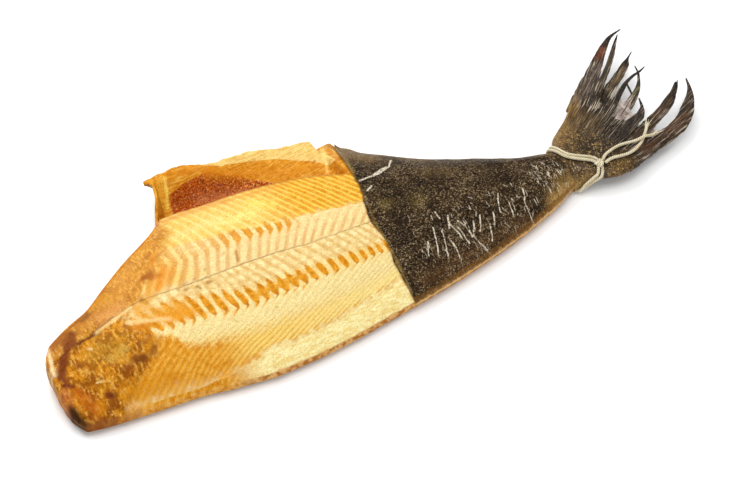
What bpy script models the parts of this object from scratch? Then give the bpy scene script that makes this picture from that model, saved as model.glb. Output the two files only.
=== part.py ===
"""A headless, gutted and cold-smoked Greenland halibut, tied at the tail, lying on its blind side.

+X runs from the head cut to the tail, +Y from the back to the belly and +Z up. Sizes are in metres.
The meat is one solid. The dark skin covers only its rear half, the blind-side skin all its underside.
"""

import math

import bmesh
import bpy
import numpy as np
from mathutils import Matrix, Vector
from mathutils.bvhtree import BVHTree

# Driving dimensions
CROWN = 0.0390  # height of the meat at its thickest
SKIN = 0.0014  # thickness of either skin
GAP = 0.0003  # clearance between pieces that touch
SEGMENT = 0.0076  # length of one muscle segment along the body
TWINE = 0.0024  # diameter of the cotton twine
SEAM_X = 0.1480  # where the body ends and the root of the tail begins
CENTRE = (0.0194, 0.0252)  # middle of the whole outline, which becomes the origin

# Outline of the meat seen from above, as stations (x, y) from the head cut to the seam
BACK_EDGE = (
    (-0.244, -0.0455), (-0.238, -0.0475), (-0.220, -0.0515), (-0.190, -0.0553), (-0.160, -0.0590),
    (-0.148, -0.0620), (-0.128, -0.0660), (-0.110, -0.0685), (-0.085, -0.0690), (-0.060, -0.0678),
    (-0.030, -0.0648), (0.010, -0.0604), (0.050, -0.0542), (0.090, -0.0455), (0.130, -0.0335),
    (0.150, -0.0270),
)
BELLY_EDGE = (
    (-0.244, 0.0030), (-0.238, 0.0085), (-0.230, 0.0125), (-0.220, 0.0165), (-0.208, 0.0200),
    (-0.190, 0.0315), (-0.170, 0.0450), (-0.150, 0.0580), (-0.138, 0.0680), (-0.1285, 0.0805),
    (-0.1252, 0.0895), (-0.1205, 0.0975), (-0.1178, 0.1060), (-0.1160, 0.1150), (-0.1130, 0.1178),
    (-0.105, 0.1180), (-0.094, 0.1194), (-0.086, 0.1172), (-0.078, 0.1135), (-0.066, 0.1118),
    (-0.050, 0.1112), (-0.040, 0.1095), (-0.028, 0.1053), (-0.010, 0.0998), (0.005, 0.0955),
    (0.010, 0.0925), (0.015, 0.0905), (0.019, 0.0860), (0.024, 0.0785), (0.037, 0.0690),
    (0.057, 0.0520), (0.077, 0.0400), (0.097, 0.0293), (0.122, 0.0155), (0.142, 0.0080),
    (0.150, 0.0065),
)
# Cut edge of the upper fillet along the belly cavity, and its line on towards the tail
LIP = (
    (-0.140, 0.0860), (-0.125, 0.0835), (-0.115, 0.0805), (-0.105, 0.0760), (-0.090, 0.0720),
    (-0.074, 0.0695), (-0.060, 0.0665), (-0.050, 0.0635), (-0.038, 0.0595), (-0.022, 0.0540),
    (-0.010, 0.0475), (0.000, 0.0420), (0.010, 0.0395), (0.030, 0.0390), (0.057, 0.0320),
    (0.100, 0.0170), (0.150, 0.0010),
)
# Belly edge that the body would have with no head cut and no cavity
WHOLE_BELLY = (
    (-0.244, 0.0620), (-0.200, 0.0750), (-0.150, 0.0880), (-0.100, 0.0960), (-0.050, 0.0985),
    (0.000, 0.0935), (0.024, 0.0795), (0.037, 0.0697), (0.057, 0.0527), (0.077, 0.0407),
    (0.097, 0.0300), (0.122, 0.0162), (0.150, 0.0072),
)
# Crown height along the body, as a share of CROWN
CROWN_SHARE = (
    (-0.244, 0.69), (-0.200, 0.85), (-0.150, 0.97), (-0.080, 1.00), (0.000, 0.97),
    (0.050, 0.87), (0.100, 0.69), (0.130, 0.56), (0.150, 0.46),
)
EDGE_TOP = 0.0085  # height of the meat's trimmed edge, above which the dome begins
EDGE_LIFT = 0.0012  # how far that edge is clear of the flat underside
EDGE_BULGE = 0.0016
EDGE_FROM = 0.74  # where, from the middle (0) out to the edge (1), the underside begins to rise
TAIL_LIFT = 0.0036  # how far the underside rises where the twine passes
TAIL_LIFT_FROM = 0.105
TAIL_LIFT_LENGTH = 0.040
DOME_POWER = 2.4
DOME_ROUND = 0.85
LUMP = (0.0130, 0.0930)  # where the belly's edge bulges up, just behind the cavity
LUMP_HEIGHT = 0.0090
LUMP_LENGTH = 0.0080
LUMP_WIDTH = 0.0110
HEAD_X = -0.2430
HEAD_ROUND = 0.0050  # how far the head cut's corners stand back
HEAD_BOW = 0.0015

# Belly cavity: a trough between the lip and the thin wall of the belly
CAVITY_FLOOR = ((-0.130, 0.0075), (-0.075, 0.0080), (-0.045, 0.0130), (-0.020, 0.0190), (0.008, 0.0240))
CAVITY_START = -0.1285
CAVITY_END = 0.0035
CAVITY_FRONT = 0.008  # length over which its front end falls to the floor
CAVITY_BACK = 0.004
LIP_SHARE = 0.16  # share of its width that the lip's side takes
LEAST_WIDTH = 0.0035
FLAP_RIM = (
    (-0.130, 0.0190), (-0.117, 0.0230), (-0.100, 0.0235), (-0.084, 0.0220), (-0.060, 0.0210),
    (-0.030, 0.0205), (-0.010, 0.0210), (0.006, 0.0220), (0.012, 0.0200),
)
FLAP_WALL = 0.0030
FLAP_FROM = 0.42  # where, from the lip (0) to the rim (1), the wall begins to rise
UNDERCUT_END = -0.048  # where the hollow under the wall ends, as the wall joins the body
UNDERCUT_FADE = 0.026

# Muscle relief
RIDGE = 0.0007  # height of a muscle segment above the grooves beside it
MIDLINE = 0.0012  # depth of the groove along the middle
MIDLINE_U = 0.50
MIDLINE_WIDTH = 0.012  # as a share of the way from the back to the lip
RELIEF_FADE = 0.10  # the same share, over which the relief fades out at either side
SEGMENTS_FROM = -0.157
SEGMENTS_TO = 0.030
# How far a segment runs forwards or back along the body, from the back (0) over to the lip (1)
CHEVRON = ((0.0, -0.034), (0.12, -0.022), (0.30, 0.009), (MIDLINE_U, 0.0), (0.72, 0.010), (1.0, -0.026))

# Line where the eyed-side skin was cut off and peeled away, as (y, x)
SKIN_LINE = (
    (-0.0640, -0.0055), (-0.0540, -0.0078), (-0.0420, -0.0088), (-0.0300, -0.0068),
    (-0.0200, -0.0060), (-0.0100, -0.0078), (0.0010, -0.0064), (0.0100, -0.0036), (0.0210, 0.0003),
    (0.0380, 0.0030), (0.0520, 0.0052), (0.0700, 0.0095), (0.0880, 0.0160),
)
BACK_TRIM = 0.0026  # bare strip left by the cut-off back fin
BELLY_TRIM = 0.0012
BLIND_INSET = 0.0010
BELLY_CORNERS = (-0.120, -0.082, -0.060, 0.012)  # where the belly's edge turns

# Columns of the meat's grid: u runs from the back edge to the lip, w from the lip to the belly edge
COLUMNS_U = (0.0, 0.03, 0.07, 0.14, 0.22, 0.30, 0.37, 0.43, 0.48, MIDLINE_U, 0.52, 0.57,
             0.64, 0.72, 0.79, 0.86, 0.94, 1.0)
COLUMNS_W = (0.07, 0.16, 0.30, 0.46, 0.62, 0.78, 0.92, 1.0)
FRONT_LINES = 6
REAR_LINES = (0.02, 0.045, 0.07, 0.10, 0.15, 0.22, 0.31, 0.41, 0.52, 0.63, 0.75, 0.87, 1.0)


def through(stations, at):
    """Smooth curve through stations (x, y) that never swings past them."""
    x, y = np.array(stations, float).T
    step = np.diff(x)
    rise = np.diff(y) / step
    slope = np.zeros(len(x))
    before, after = rise[:-1], rise[1:]
    same = before * after > 0
    slope[1:-1][same] = 2 * before[same] * after[same] / (before[same] + after[same])
    slope[0], slope[-1] = rise[0], rise[-1]
    at = np.clip(np.asarray(at, float), x[0], x[-1])
    k = np.clip(np.searchsorted(x, at) - 1, 0, len(step) - 1)
    return cubic(at, x[k], x[k + 1], y[k], y[k + 1], slope[k], slope[k + 1])


def cubic(at, x0, x1, y0, y1, slope0, slope1):
    """Cubic between two places, with the given slopes at its ends."""
    step = x1 - x0
    t = (at - x0) / step
    return (
        y0 * (1 + 2 * t) * (1 - t) ** 2
        + slope0 * step * t * (1 - t) ** 2
        + y1 * t**2 * (3 - 2 * t)
        + slope1 * step * t**2 * (t - 1)
    )


def ease(t):
    t = np.clip(t, 0, 1)
    return t * t * (3 - 2 * t)


def back_edge(x):
    return through(BACK_EDGE, x)


def belly_edge(x):
    return through(BELLY_EDGE, x)


def lip_line(x):
    return np.minimum(through(LIP, x), belly_edge(x) - LEAST_WIDTH)


def cavity(x, y):
    """How much of the cavity there is at a place, and how far that lies from the lip to the rim."""
    across = (y - lip_line(x)) / (belly_edge(x) - lip_line(x))
    along = ease((x - CAVITY_START) / CAVITY_FRONT) * ease((CAVITY_END - x) / CAVITY_BACK)
    return along * (across > 0), np.clip(across, 0, 1)


def across_body(x, y):
    """-1 at the back edge, +1 at the belly edge of the whole body."""
    near, far = back_edge(x), through(WHOLE_BELLY, x)
    return np.clip((2 * y - near - far) / (far - near), -1, 1)


def lump(x, y):
    return np.exp(-(((x - LUMP[0]) / LUMP_LENGTH) ** 2) - ((y - LUMP[1]) / LUMP_WIDTH) ** 2)


def dome(x, y):
    v = np.abs(across_body(x, y))
    crown = CROWN * through(CROWN_SHARE, x)
    return EDGE_TOP + (crown - EDGE_TOP) * (1 - v**DOME_POWER) ** DOME_ROUND + LUMP_HEIGHT * lump(x, y)


def meat_top(x, y):
    share, across = cavity(x, y)
    floor = through(CAVITY_FLOOR, x)
    wall = ease((across - FLAP_FROM) / (1 - FLAP_FROM)) * (through(FLAP_RIM, x) - floor)
    drop = ease(across / LIP_SHARE) * share
    return dome(x, y) * (1 - drop) + (floor + wall) * drop


def meat_bottom(x, y):
    v = np.abs(across_body(x, y))
    share, across = cavity(x, y)
    lift = EDGE_LIFT * ease((v - EDGE_FROM) / (1 - EDGE_FROM)) * (1 - share)
    tail = TAIL_LIFT * ease((x - TAIL_LIFT_FROM) / TAIL_LIFT_LENGTH)
    flat = SKIN + GAP + np.maximum(lift, tail)
    rise = ease((across - FLAP_FROM - 0.04) / 0.30) * share * ease((UNDERCUT_END - x) / UNDERCUT_FADE)
    return flat * (1 - rise) + np.maximum(meat_top(x, y) - FLAP_WALL, flat) * rise


def head_cut(t):
    """The cut is nearly square to the body, with rounded corners."""
    return HEAD_X + HEAD_ROUND * np.abs(2 * t - 1) ** 5 - HEAD_BOW * np.sin(math.pi * t)


def meat_grid():
    """Places over the meat on lines across it that follow the muscle segments, and the relief there."""
    u = np.concatenate([COLUMNS_U, np.ones(len(COLUMNS_W))])
    w = np.concatenate([np.zeros(len(COLUMNS_U)), COLUMNS_W])
    starts = np.arange(SEGMENTS_FROM, SEGMENTS_TO, SEGMENT / 2)
    shift = through(CHEVRON, u)
    first = head_cut(0.82 * u + 0.18 * w)
    front = [first + (starts[0] + shift - first) * ease(k / FRONT_LINES) for k in range(FRONT_LINES)]
    middle = [start + shift for start in starts]
    rear = [middle[-1] + (SEAM_X - middle[-1]) * share for share in REAR_LINES]
    x = np.array(front + middle + rear)
    groove_lines = np.zeros((len(x), 1))
    groove_lines[len(front) : len(front) + len(middle) : 2] = RIDGE
    fade = ease(u / RELIEF_FADE) * ease((1.0 - u) / RELIEF_FADE)
    midline = MIDLINE * np.exp(-(((u - MIDLINE_U) / MIDLINE_WIDTH) ** 2)) * ease((x - HEAD_X) / 0.06)
    near, lip, far = back_edge(x), lip_line(x), belly_edge(x)
    y = near + (lip - near) * u + (far - lip) * w
    return x, y, groove_lines * fade + midline


def mesh_object(name, points, faces):
    mesh = bpy.data.meshes.new(name)
    mesh.from_pydata([tuple(map(float, p)) for p in points], [], [tuple(map(int, f)) for f in faces])
    made = bpy.data.objects.new(name, mesh)
    bpy.context.scene.collection.objects.link(made)
    tidy = bmesh.new()
    tidy.from_mesh(mesh)
    bmesh.ops.remove_doubles(tidy, verts=tidy.verts, dist=1e-6)
    bmesh.ops.recalc_face_normals(tidy, faces=tidy.faces)
    tidy.to_mesh(mesh)
    tidy.free()
    return made


def outward(places):
    """Unit normals, in plan, of a closed loop of places that runs anticlockwise."""
    along = np.roll(places, -1, 0) - np.roll(places, 1, 0)
    length = np.maximum(np.hypot(along[:, 0], along[:, 1]), 1e-9)
    return np.stack([along[:, 1], -along[:, 0]], 1) / length[:, None]


def layer(name, x, y, low, high, bulge=0.0):
    """A closed solid between two heights over a grid of places. Its side wall can bulge out."""
    rows, columns = x.shape
    grid = np.arange(rows * columns).reshape(rows, columns)
    upper = np.stack([x, y, high], 2).reshape(-1, 3)
    lower = np.stack([x, y, low], 2).reshape(-1, 3)
    loop = np.concatenate([grid[:, 0], grid[-1, 1:], grid[-2::-1, -1], grid[0, -2:0:-1]])
    points = [upper, lower]
    rings = [loop + len(upper)]
    if bulge:
        out = outward(upper[loop, :2]) * ease((SEAM_X - upper[loop, :1]) / 0.02)
        for share in (0.25, 0.75):
            ring = lower[loop] * (1 - share) + upper[loop] * share
            ring[:, :2] += out * bulge
            rings.append(np.arange(len(loop)) + sum(map(len, points)))
            points.append(ring)
    rings.append(loop)
    faces = []
    for i in range(rows - 1):
        for j in range(columns - 1):
            a, b, c, d = grid[i, j], grid[i + 1, j], grid[i + 1, j + 1], grid[i, j + 1]
            faces.append((a, b, c, d))
            faces.append(tuple(len(upper) + n for n in (d, c, b, a)))
    for under, over in zip(rings, rings[1:]):
        for k in range(len(loop)):
            n = (k + 1) % len(loop)
            faces.append((under[k], under[n], over[n], over[k]))
    return mesh_object(name, np.concatenate(points), faces)


def merge_flat_faces(made):
    """Joins the faces that lie in one plane, which are those of the flat underside."""
    tidy = bmesh.new()
    tidy.from_mesh(made.data)
    bmesh.ops.dissolve_limit(tidy, angle_limit=math.radians(0.03), verts=tidy.verts, edges=tidy.edges)
    bmesh.ops.triangulate(tidy, faces=tidy.faces)
    tidy.to_mesh(made.data)
    tidy.free()


def paint(made, red, green, blue, roughness):
    """A plain material in the colour of the piece."""
    finish = bpy.data.materials.new(made.name)
    finish.use_nodes = True
    shader = finish.node_tree.nodes["Principled BSDF"]
    shader.inputs["Base Color"].default_value = (red, green, blue, 1)
    shader.inputs["Roughness"].default_value = roughness
    shader.inputs["Metallic"].default_value = 0
    finish.diffuse_color = (red, green, blue, 1)
    made.data.materials.append(finish)


def make_meat():
    x, y, relief = meat_grid()
    meat = layer("flesh", x, y, meat_bottom(x, y), meat_top(x, y) - relief, EDGE_BULGE)
    merge_flat_faces(meat)
    paint(meat, 0.80, 0.47, 0.13, 0.45)
    return meat


def make_eyed_skin():
    """The dark skin, a layer over the rear half that begins at the cut line."""
    u = np.concatenate([COLUMNS_U, np.ones(len(COLUMNS_W))])
    w = np.concatenate([np.zeros(len(COLUMNS_U)), COLUMNS_W])
    start = np.zeros(len(u))
    for _ in range(20):
        y = back_edge(start) + (lip_line(start) - back_edge(start)) * u
        y += (belly_edge(start) - lip_line(start)) * w
        start = 0.5 * start + 0.5 * through(SKIN_LINE, y)
    along = np.concatenate([[0.0, 0.02, 0.045, 0.07, 0.10], np.linspace(0.15, 1.0, 13)])[:, None]
    x = start + (SEAM_X - start) * along
    near, lip, far = back_edge(x), lip_line(x), belly_edge(x)
    y = near + (lip - near) * u + (far - lip) * w
    middle = (near + far) / 2
    y = np.where(y < middle, np.maximum(y, near + BACK_TRIM * (1 + 0.5 * u)), y)
    y = np.where(y > middle, np.minimum(y, far - BELLY_TRIM * (2 - w)), y)
    low = dome(x, y) + GAP * (1.3 + 1.2 * (u > 0.8) + 4.0 * lump(x, y))
    skin = layer("skin_eyed_side", x, y, low, low + SKIN)
    paint(skin, 0.075, 0.055, 0.035, 0.5)
    return skin


def sampled(grid, rows, columns):
    """A grid's values at fractional rows and columns, on straight lines between its own."""
    i = np.minimum(rows.astype(int), grid.shape[0] - 2)[:, None]
    j = np.minimum(columns.astype(int), grid.shape[1] - 2)
    s, t = rows[:, None] - i, columns - j
    before = grid[i, j] * (1 - t) + grid[i, j + 1] * t
    after = grid[i + 1, j] * (1 - t) + grid[i + 1, j + 1] * t
    return before * (1 - s) + after * s


def make_blind_skin():
    """The skin under the whole body, which keeps to the meat's own lines where the edges turn up."""
    x, y, _ = meat_grid()
    z = meat_bottom(x, y) - GAP
    rim = x[:, -1]
    turning = rim > 0.09
    for corner in BELLY_CORNERS:
        turning = turning | (np.abs(rim - corner) < 0.014)
    rows = [i for i in range(len(x)) if turning[i] or i % 3 == 0 or i == len(x) - 1]
    rows = np.array(rows, float)
    rows[0] += 0.3
    columns = np.array([0, 1, 2, 3, 4, 6, *range(13, x.shape[1])], float)
    width = np.median(np.hypot(x[:, 1] - x[:, 0], y[:, 1] - y[:, 0]))
    columns[0] += BLIND_INSET / width
    columns[-1] -= 0.25
    x, y, z = (sampled(grid, rows, columns) for grid in (x, y, z))
    skin = layer("skin_blind_side", x, y, z - SKIN, z)
    merge_flat_faces(skin)
    paint(skin, 0.22, 0.17, 0.11, 0.55)
    return skin


# Tail: a fan of webbed rays on a root that continues the body. Its sections run from the seam outwards,
# each given by its ends on the back side and on the belly side, its thickness and its middle's height.
TAIL_SECTIONS = (
    ((0.1483, -0.0280), (0.1483, 0.0067), 0.0156, 0.0121),
    ((0.1560, -0.0278), (0.1525, 0.0075), 0.0156, 0.0121),
    ((0.1650, -0.0292), (0.1575, 0.0150), 0.0138, 0.0120),
    ((0.1730, -0.0335), (0.1670, 0.0220), 0.0112, 0.0119),
    ((0.1840, -0.0366), (0.1780, 0.0295), 0.0082, 0.0117),
    ((0.1960, -0.0358), (0.1870, 0.0370), 0.0056, 0.0115),
    ((0.2080, -0.0320), (0.1950, 0.0448), 0.0034, 0.0112),
)
TAIL_BULGE = 0.0110
RAY_THICK = 0.0026
RAY_THIN = 0.0010

# Each cluster of rays is a blade: its spine (x, y), half its width there and its height
BLADES = {
    "outer_belly": (
        (0.192, 0.0330, 0.0085, 0.0118), (0.208, 0.0460, 0.0080, 0.0120), (0.222, 0.0580, 0.0062, 0.0123),
        (0.232, 0.0665, 0.0051, 0.0128), (0.241, 0.0742, 0.0040, 0.0134), (0.250, 0.0812, 0.0029, 0.0142),
        (0.260, 0.0873, 0.0016, 0.0152), (0.271, 0.0895, 0.0005, 0.0165),
    ),
    "second": (
        (0.200, 0.0280, 0.0060, 0.0122), (0.215, 0.0410, 0.0042, 0.0124), (0.226, 0.0500, 0.0030, 0.0130),
        (0.238, 0.0595, 0.0023, 0.0140), (0.249, 0.0695, 0.0020, 0.0150), (0.258, 0.0785, 0.0013, 0.0160),
        (0.265, 0.0850, 0.0004, 0.0170),
    ),
    "third": (
        (0.198, 0.0190, 0.0065, 0.0116), (0.214, 0.0320, 0.0060, 0.0112), (0.226, 0.0410, 0.0046, 0.0108),
        (0.236, 0.0470, 0.0041, 0.0106), (0.246, 0.0532, 0.0036, 0.0106), (0.254, 0.0585, 0.0030, 0.0110),
        (0.259, 0.0625, 0.0011, 0.0116), (0.266, 0.0670, 0.0004, 0.0126),
    ),
    "fourth": (
        (0.194, 0.0070, 0.0055, 0.0120), (0.212, 0.0205, 0.0042, 0.0124), (0.226, 0.0297, 0.0025, 0.0130),
        (0.235, 0.0357, 0.0021, 0.0138), (0.243, 0.0400, 0.0014, 0.0146), (0.250, 0.0422, 0.0011, 0.0152),
        (0.256, 0.0432, 0.0009, 0.0156), (0.262, 0.0453, 0.0004, 0.0160),
    ),
    "fifth": (
        (0.192, -0.0030, 0.0055, 0.0116), (0.208, 0.0085, 0.0050, 0.0112), (0.222, 0.0160, 0.0042, 0.0106),
        (0.231, 0.0212, 0.0038, 0.0104), (0.239, 0.0262, 0.0030, 0.0108), (0.246, 0.0313, 0.0020, 0.0120),
        (0.251, 0.0370, 0.0012, 0.0134), (0.2545, 0.0430, 0.0009, 0.0150), (0.256, 0.0495, 0.0004, 0.0162),
    ),
    "cross_strand": (
        (0.2385, 0.0270, 0.0008, 0.0113), (0.2395, 0.0325, 0.0008, 0.0128), (0.2405, 0.0385, 0.0008, 0.0142),
    ),
    "hook": (
        (0.194, -0.0110, 0.0050, 0.0120), (0.208, -0.0030, 0.0055, 0.0124), (0.220, 0.0020, 0.0046, 0.0130),
        (0.229, 0.0052, 0.0034, 0.0138), (0.2345, 0.0105, 0.0015, 0.0146), (0.238, 0.0192, 0.0005, 0.0156),
    ),
    "sixth": (
        (0.192, -0.0210, 0.0050, 0.0116), (0.210, -0.0120, 0.0058, 0.0112), (0.229, -0.0045, 0.0050, 0.0104),
        (0.241, 0.0005, 0.0045, 0.0100), (0.251, 0.0048, 0.0043, 0.0098), (0.260, 0.0100, 0.0038, 0.0100),
        (0.268, 0.0158, 0.0024, 0.0106), (0.2755, 0.0232, 0.0006, 0.0116),
    ),
    "sixth_fork": (
        (0.260, 0.0085, 0.0016, 0.0101), (0.268, 0.0140, 0.0013, 0.0105), (0.2735, 0.0190, 0.0009, 0.0110),
        (0.2778, 0.0240, 0.0004, 0.0116),
    ),
    "outer_back": (
        (0.190, -0.0290, 0.0070, 0.0112), (0.206, -0.0240, 0.0085, 0.0104), (0.222, -0.0208, 0.0078, 0.0096),
        (0.236, -0.0187, 0.0067, 0.0092), (0.249, -0.0152, 0.0062, 0.0090), (0.260, -0.0092, 0.0056, 0.0091),
        (0.270, -0.0005, 0.0045, 0.0096), (0.2765, 0.0062, 0.0030, 0.0102), (0.2812, 0.0135, 0.0016, 0.0110),
        (0.2845, 0.0222, 0.0005, 0.0122),
    ),
}


def make_fan_root():
    across = np.concatenate([[0.0, 0.03], np.linspace(0.1, 0.9, 9), [0.97, 1.0]])
    x, y, low, high = [], [], [], []
    for near, far, thick, middle in TAIL_SECTIONS:
        bulge = TAIL_BULGE * ease((near[0] - 0.165) / 0.045)
        x.append(near[0] + (far[0] - near[0]) * across + bulge * 4 * across * (1 - across))
        y.append(near[1] + (far[1] - near[1]) * across)
        half = thick / 2 * (0.30 + 0.70 * (1 - np.abs(2 * across - 1) ** 3) ** 0.6)
        low.append(middle - half)
        high.append(middle + half)
    return layer("tail_fin", *map(np.array, (x, y, low, high)))


def make_blade(name, spine):
    """A tapered strip, six-sided in section, thicker along its middle and closed at both ends."""
    spine = np.array(spine)
    along = np.gradient(spine[:, :2], axis=0)
    along /= np.hypot(along[:, 0], along[:, 1])[:, None]
    side = np.stack([-along[:, 1], along[:, 0]], 1)
    points = []
    for k, (x, y, half, z) in enumerate(spine):
        left = 1 - k / (len(spine) - 1)
        thick = RAY_THIN + (RAY_THICK - RAY_THIN) * left * min(1, half / 0.004)
        for across, up in ((-1, 0.18), (-1, -0.18), (0, -0.5), (1, -0.18), (1, 0.18), (0, 0.5)):
            place = (x, y) + side[k] * half * across
            points.append((place[0], place[1], z + thick * up))
    last = len(points)
    faces = [tuple(range(6)), tuple(range(last - 1, last - 7, -1))]
    for k in range(len(spine) - 1):
        for c in range(6):
            n = (c + 1) % 6
            faces.append((6 * k + c, 6 * k + n, 6 * k + 6 + n, 6 * k + 6 + c))
    return mesh_object(name, points, faces)


def joined(base, others):
    """Boolean union of the others onto base, applied, with the others then removed."""
    group = bpy.data.collections.new("joining")
    for other in others:
        group.objects.link(other)
    union = base.modifiers.new("union", "BOOLEAN")
    union.operation = "UNION"
    union.operand_type = "COLLECTION"
    union.collection = group
    graph = bpy.context.evaluated_depsgraph_get()
    whole = bpy.data.meshes.new_from_object(base.evaluated_get(graph))
    base.modifiers.clear()
    base.data = whole
    for other in others:
        bpy.data.objects.remove(other)
    bpy.data.collections.remove(group)
    return base


def make_tail():
    blades = [make_blade("ray_" + name, spine) for name, spine in BLADES.items()]
    fan = joined(make_fan_root(), blades)
    fan.data.materials.clear()
    paint(fan, 0.060, 0.045, 0.030, 0.5)
    return fan


# Twine: two turns round the waist, a knot on the back side, and two loose ends that lie on the fin
WAIST = Vector((0.1505, -0.0100, 0.0120))
TURN_STEPS = 36
OUTSIDE = 0.08  # a distance from the waist's middle that is outside every piece
TURN_SPACING = 0.0028  # from the middle of one turn to the middle of the other
KNOT_PULL = 0.0200  # how far the knot draws the turns towards the fin
KNOT_ANGLE = math.radians(148)  # where it sits, from the belly side up and over
KNOT = Vector((0.1705, -0.0250, 0.0195))
KNOT_SIZE = (0.0042, 0.0034, 0.0026)
END_UPPER = (
    (0.1746, -0.0232, 0.0196), (0.1773, -0.0211, 0.0190), (0.1803, -0.0190, 0.0181), (0.1845, -0.0173, 0.0174),
    (0.1890, -0.0160, 0.0170), (0.1932, -0.0152, 0.0166), (0.1980, -0.0149, 0.0161), (0.2030, -0.0154, 0.0158),
    (0.2080, -0.0164, 0.0159), (0.2120, -0.0168, 0.0164), (0.2155, -0.0168, 0.0168), (0.2185, -0.0165, 0.0162),
    (0.2215, -0.0162, 0.0147), (0.2250, -0.0156, 0.0130), (0.2286, -0.0144, 0.0120),
)
END_LOWER = (
    (0.1752, -0.0262, 0.0188), (0.1779, -0.0250, 0.0182), (0.1806, -0.0241, 0.0176), (0.1847, -0.0238, 0.0171),
    (0.1888, -0.0242, 0.0166), (0.1940, -0.0246, 0.0160), (0.1985, -0.0244, 0.0156), (0.2037, -0.0231, 0.0151),
    (0.2086, -0.0209, 0.0146), (0.2122, -0.0189, 0.0141), (0.2155, -0.0166, 0.0137), (0.2185, -0.0140, 0.0134),
    (0.2215, -0.0114, 0.0132), (0.2245, -0.0086, 0.0131), (0.2275, -0.0058, 0.0131),
)


def smooth_route(route, count):
    """Places evenly spaced along a smooth curve through the route's own points."""
    route = np.array(route)
    length = np.concatenate([[0], np.cumsum(np.linalg.norm(np.diff(route, axis=0), axis=1))])
    slope = np.gradient(route, length, axis=0)
    at = np.linspace(0, length[-1], count)
    k = np.clip(np.searchsorted(length, at) - 1, 0, len(length) - 2)
    ends = (at[:, None], length[k][:, None], length[k + 1][:, None])
    return cubic(*ends, route[k], route[k + 1], slope[k], slope[k + 1])


def make_tube(name, places, closed=False):
    """Twine along a list of places, as a curve with a round bevel."""
    curve = bpy.data.curves.new(name, "CURVE")
    curve.dimensions = "3D"
    curve.bevel_depth = TWINE / 2
    curve.bevel_resolution = 2
    curve.use_fill_caps = not closed
    line = curve.splines.new("POLY")
    line.points.add(len(places) - 1)
    line.use_cyclic_u = closed
    for point, place in zip(line.points, places):
        point.co = (*map(float, place), 1)
    made = bpy.data.objects.new(name, curve)
    bpy.context.scene.collection.objects.link(made)
    return made


def as_mesh(made):
    """The same object with its curve turned into a mesh."""
    name = made.name
    graph = bpy.context.evaluated_depsgraph_get()
    mesh = bpy.data.meshes.new_from_object(made.evaluated_get(graph))
    bpy.data.objects.remove(made)
    solid = bpy.data.objects.new(name, mesh)
    bpy.context.scene.collection.objects.link(solid)
    return solid


def reach_of(trees, start, direction, clear):
    """How far from the start, against the direction, twine can come before it meets a surface."""
    nearest = start.length
    for tree in trees:
        for aside in (-TWINE / 2, 0, TWINE / 2):
            hit, normal, _, distance = tree.ray_cast(start + Vector((aside, 0, 0)), -direction)
            if hit is not None:
                nearest = min(nearest, distance - clear / max(0.8, abs(normal.dot(direction))))
    return nearest


def taut_loop(trees, middles, directions, clear):
    """A loop of twine held off the surfaces, which bridges what is hollow."""
    starts = [middle + direction * OUTSIDE for middle, direction in zip(middles, directions)]
    radii = [OUTSIDE - reach_of(trees, s, d, clear) for s, d in zip(starts, directions)]
    for _ in range(80):
        for k in range(len(radii)):
            n = (k + 1) % len(radii)
            before, after = directions[k - 1] * radii[k - 1], directions[n] * radii[n]
            bridge = before.cross(after).x / directions[k].cross(after - before).x
            radii[k] = max(radii[k], bridge)
    return [m + d * r for m, d, r in zip(middles, directions, radii)]


def turns_round_waist(trees, clear):
    """Two turns side by side, pulled aside towards the knot."""
    angles = np.linspace(0, 2 * math.pi, TURN_STEPS, endpoint=False)
    pulls = KNOT_PULL * np.exp(-(((angles - KNOT_ANGLE) / 0.80) ** 2))
    middles = [WAIST + Vector((pull, 0, 0)) for pull in pulls]
    directions = [Vector((0, math.cos(a), math.sin(a) * 0.75)).normalized() for a in angles]
    between = taut_loop(trees, middles, directions, clear)
    turns = []
    for side in (-1, 1):
        middles, directions = [], []
        for k, place in enumerate(between):
            along = (between[(k + 1) % TURN_STEPS] - between[k - 1]).normalized()
            aside = (Vector((1, 0, 0)) - along * along.x).normalized()
            moved = place + aside * side * TURN_SPACING / 2
            middles.append(Vector((moved.x, WAIST.y, WAIST.z)))
            directions.append(Vector((0, moved.y - WAIST.y, moved.z - WAIST.z)).normalized())
        turns.append(taut_loop(trees, middles, directions, clear))
    return turns


def make_tie(pieces):
    """Both turns, fused by the knot."""
    graph = bpy.context.evaluated_depsgraph_get()
    trees = [BVHTree.FromObject(piece, graph) for piece in pieces]
    clear = TWINE / 2 + 3 * GAP
    turns = []
    for name, places in zip(("tie_string", "second_turn"), turns_round_waist(trees, clear)):
        turns.append(as_mesh(make_tube(name, places, closed=True)))
    ball = bmesh.new()
    scaled = Matrix.Translation(KNOT) @ Matrix.Diagonal((*KNOT_SIZE, 1))
    bmesh.ops.create_icosphere(ball, subdivisions=2, radius=1, matrix=scaled)
    mesh = bpy.data.meshes.new("knot")
    ball.to_mesh(mesh)
    ball.free()
    knot = bpy.data.objects.new("knot", mesh)
    bpy.context.scene.collection.objects.link(knot)
    tie = joined(turns[0], [turns[1], knot])
    tie.data.materials.clear()
    paint(tie, 0.78, 0.70, 0.52, 0.8)
    return tie


def make_end(name, route):
    end = make_tube(name, smooth_route(route, 12))
    paint(end, 0.78, 0.70, 0.52, 0.8)
    return end


def main():
    for old in list(bpy.data.objects):
        bpy.data.objects.remove(old, do_unlink=True)
    body = [make_meat(), make_eyed_skin(), make_blind_skin(), make_tail()]
    tie = make_tie(body)
    ends = [make_end("string_end_upper", END_UPPER), make_end("string_end_lower", END_LOWER)]
    for piece in (*body, tie, *ends):
        piece.location = (-CENTRE[0], -CENTRE[1], 0)


main()
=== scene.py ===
import math

import bpy
import numpy as np
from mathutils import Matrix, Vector
from mathutils.bvhtree import BVHTree


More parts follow.
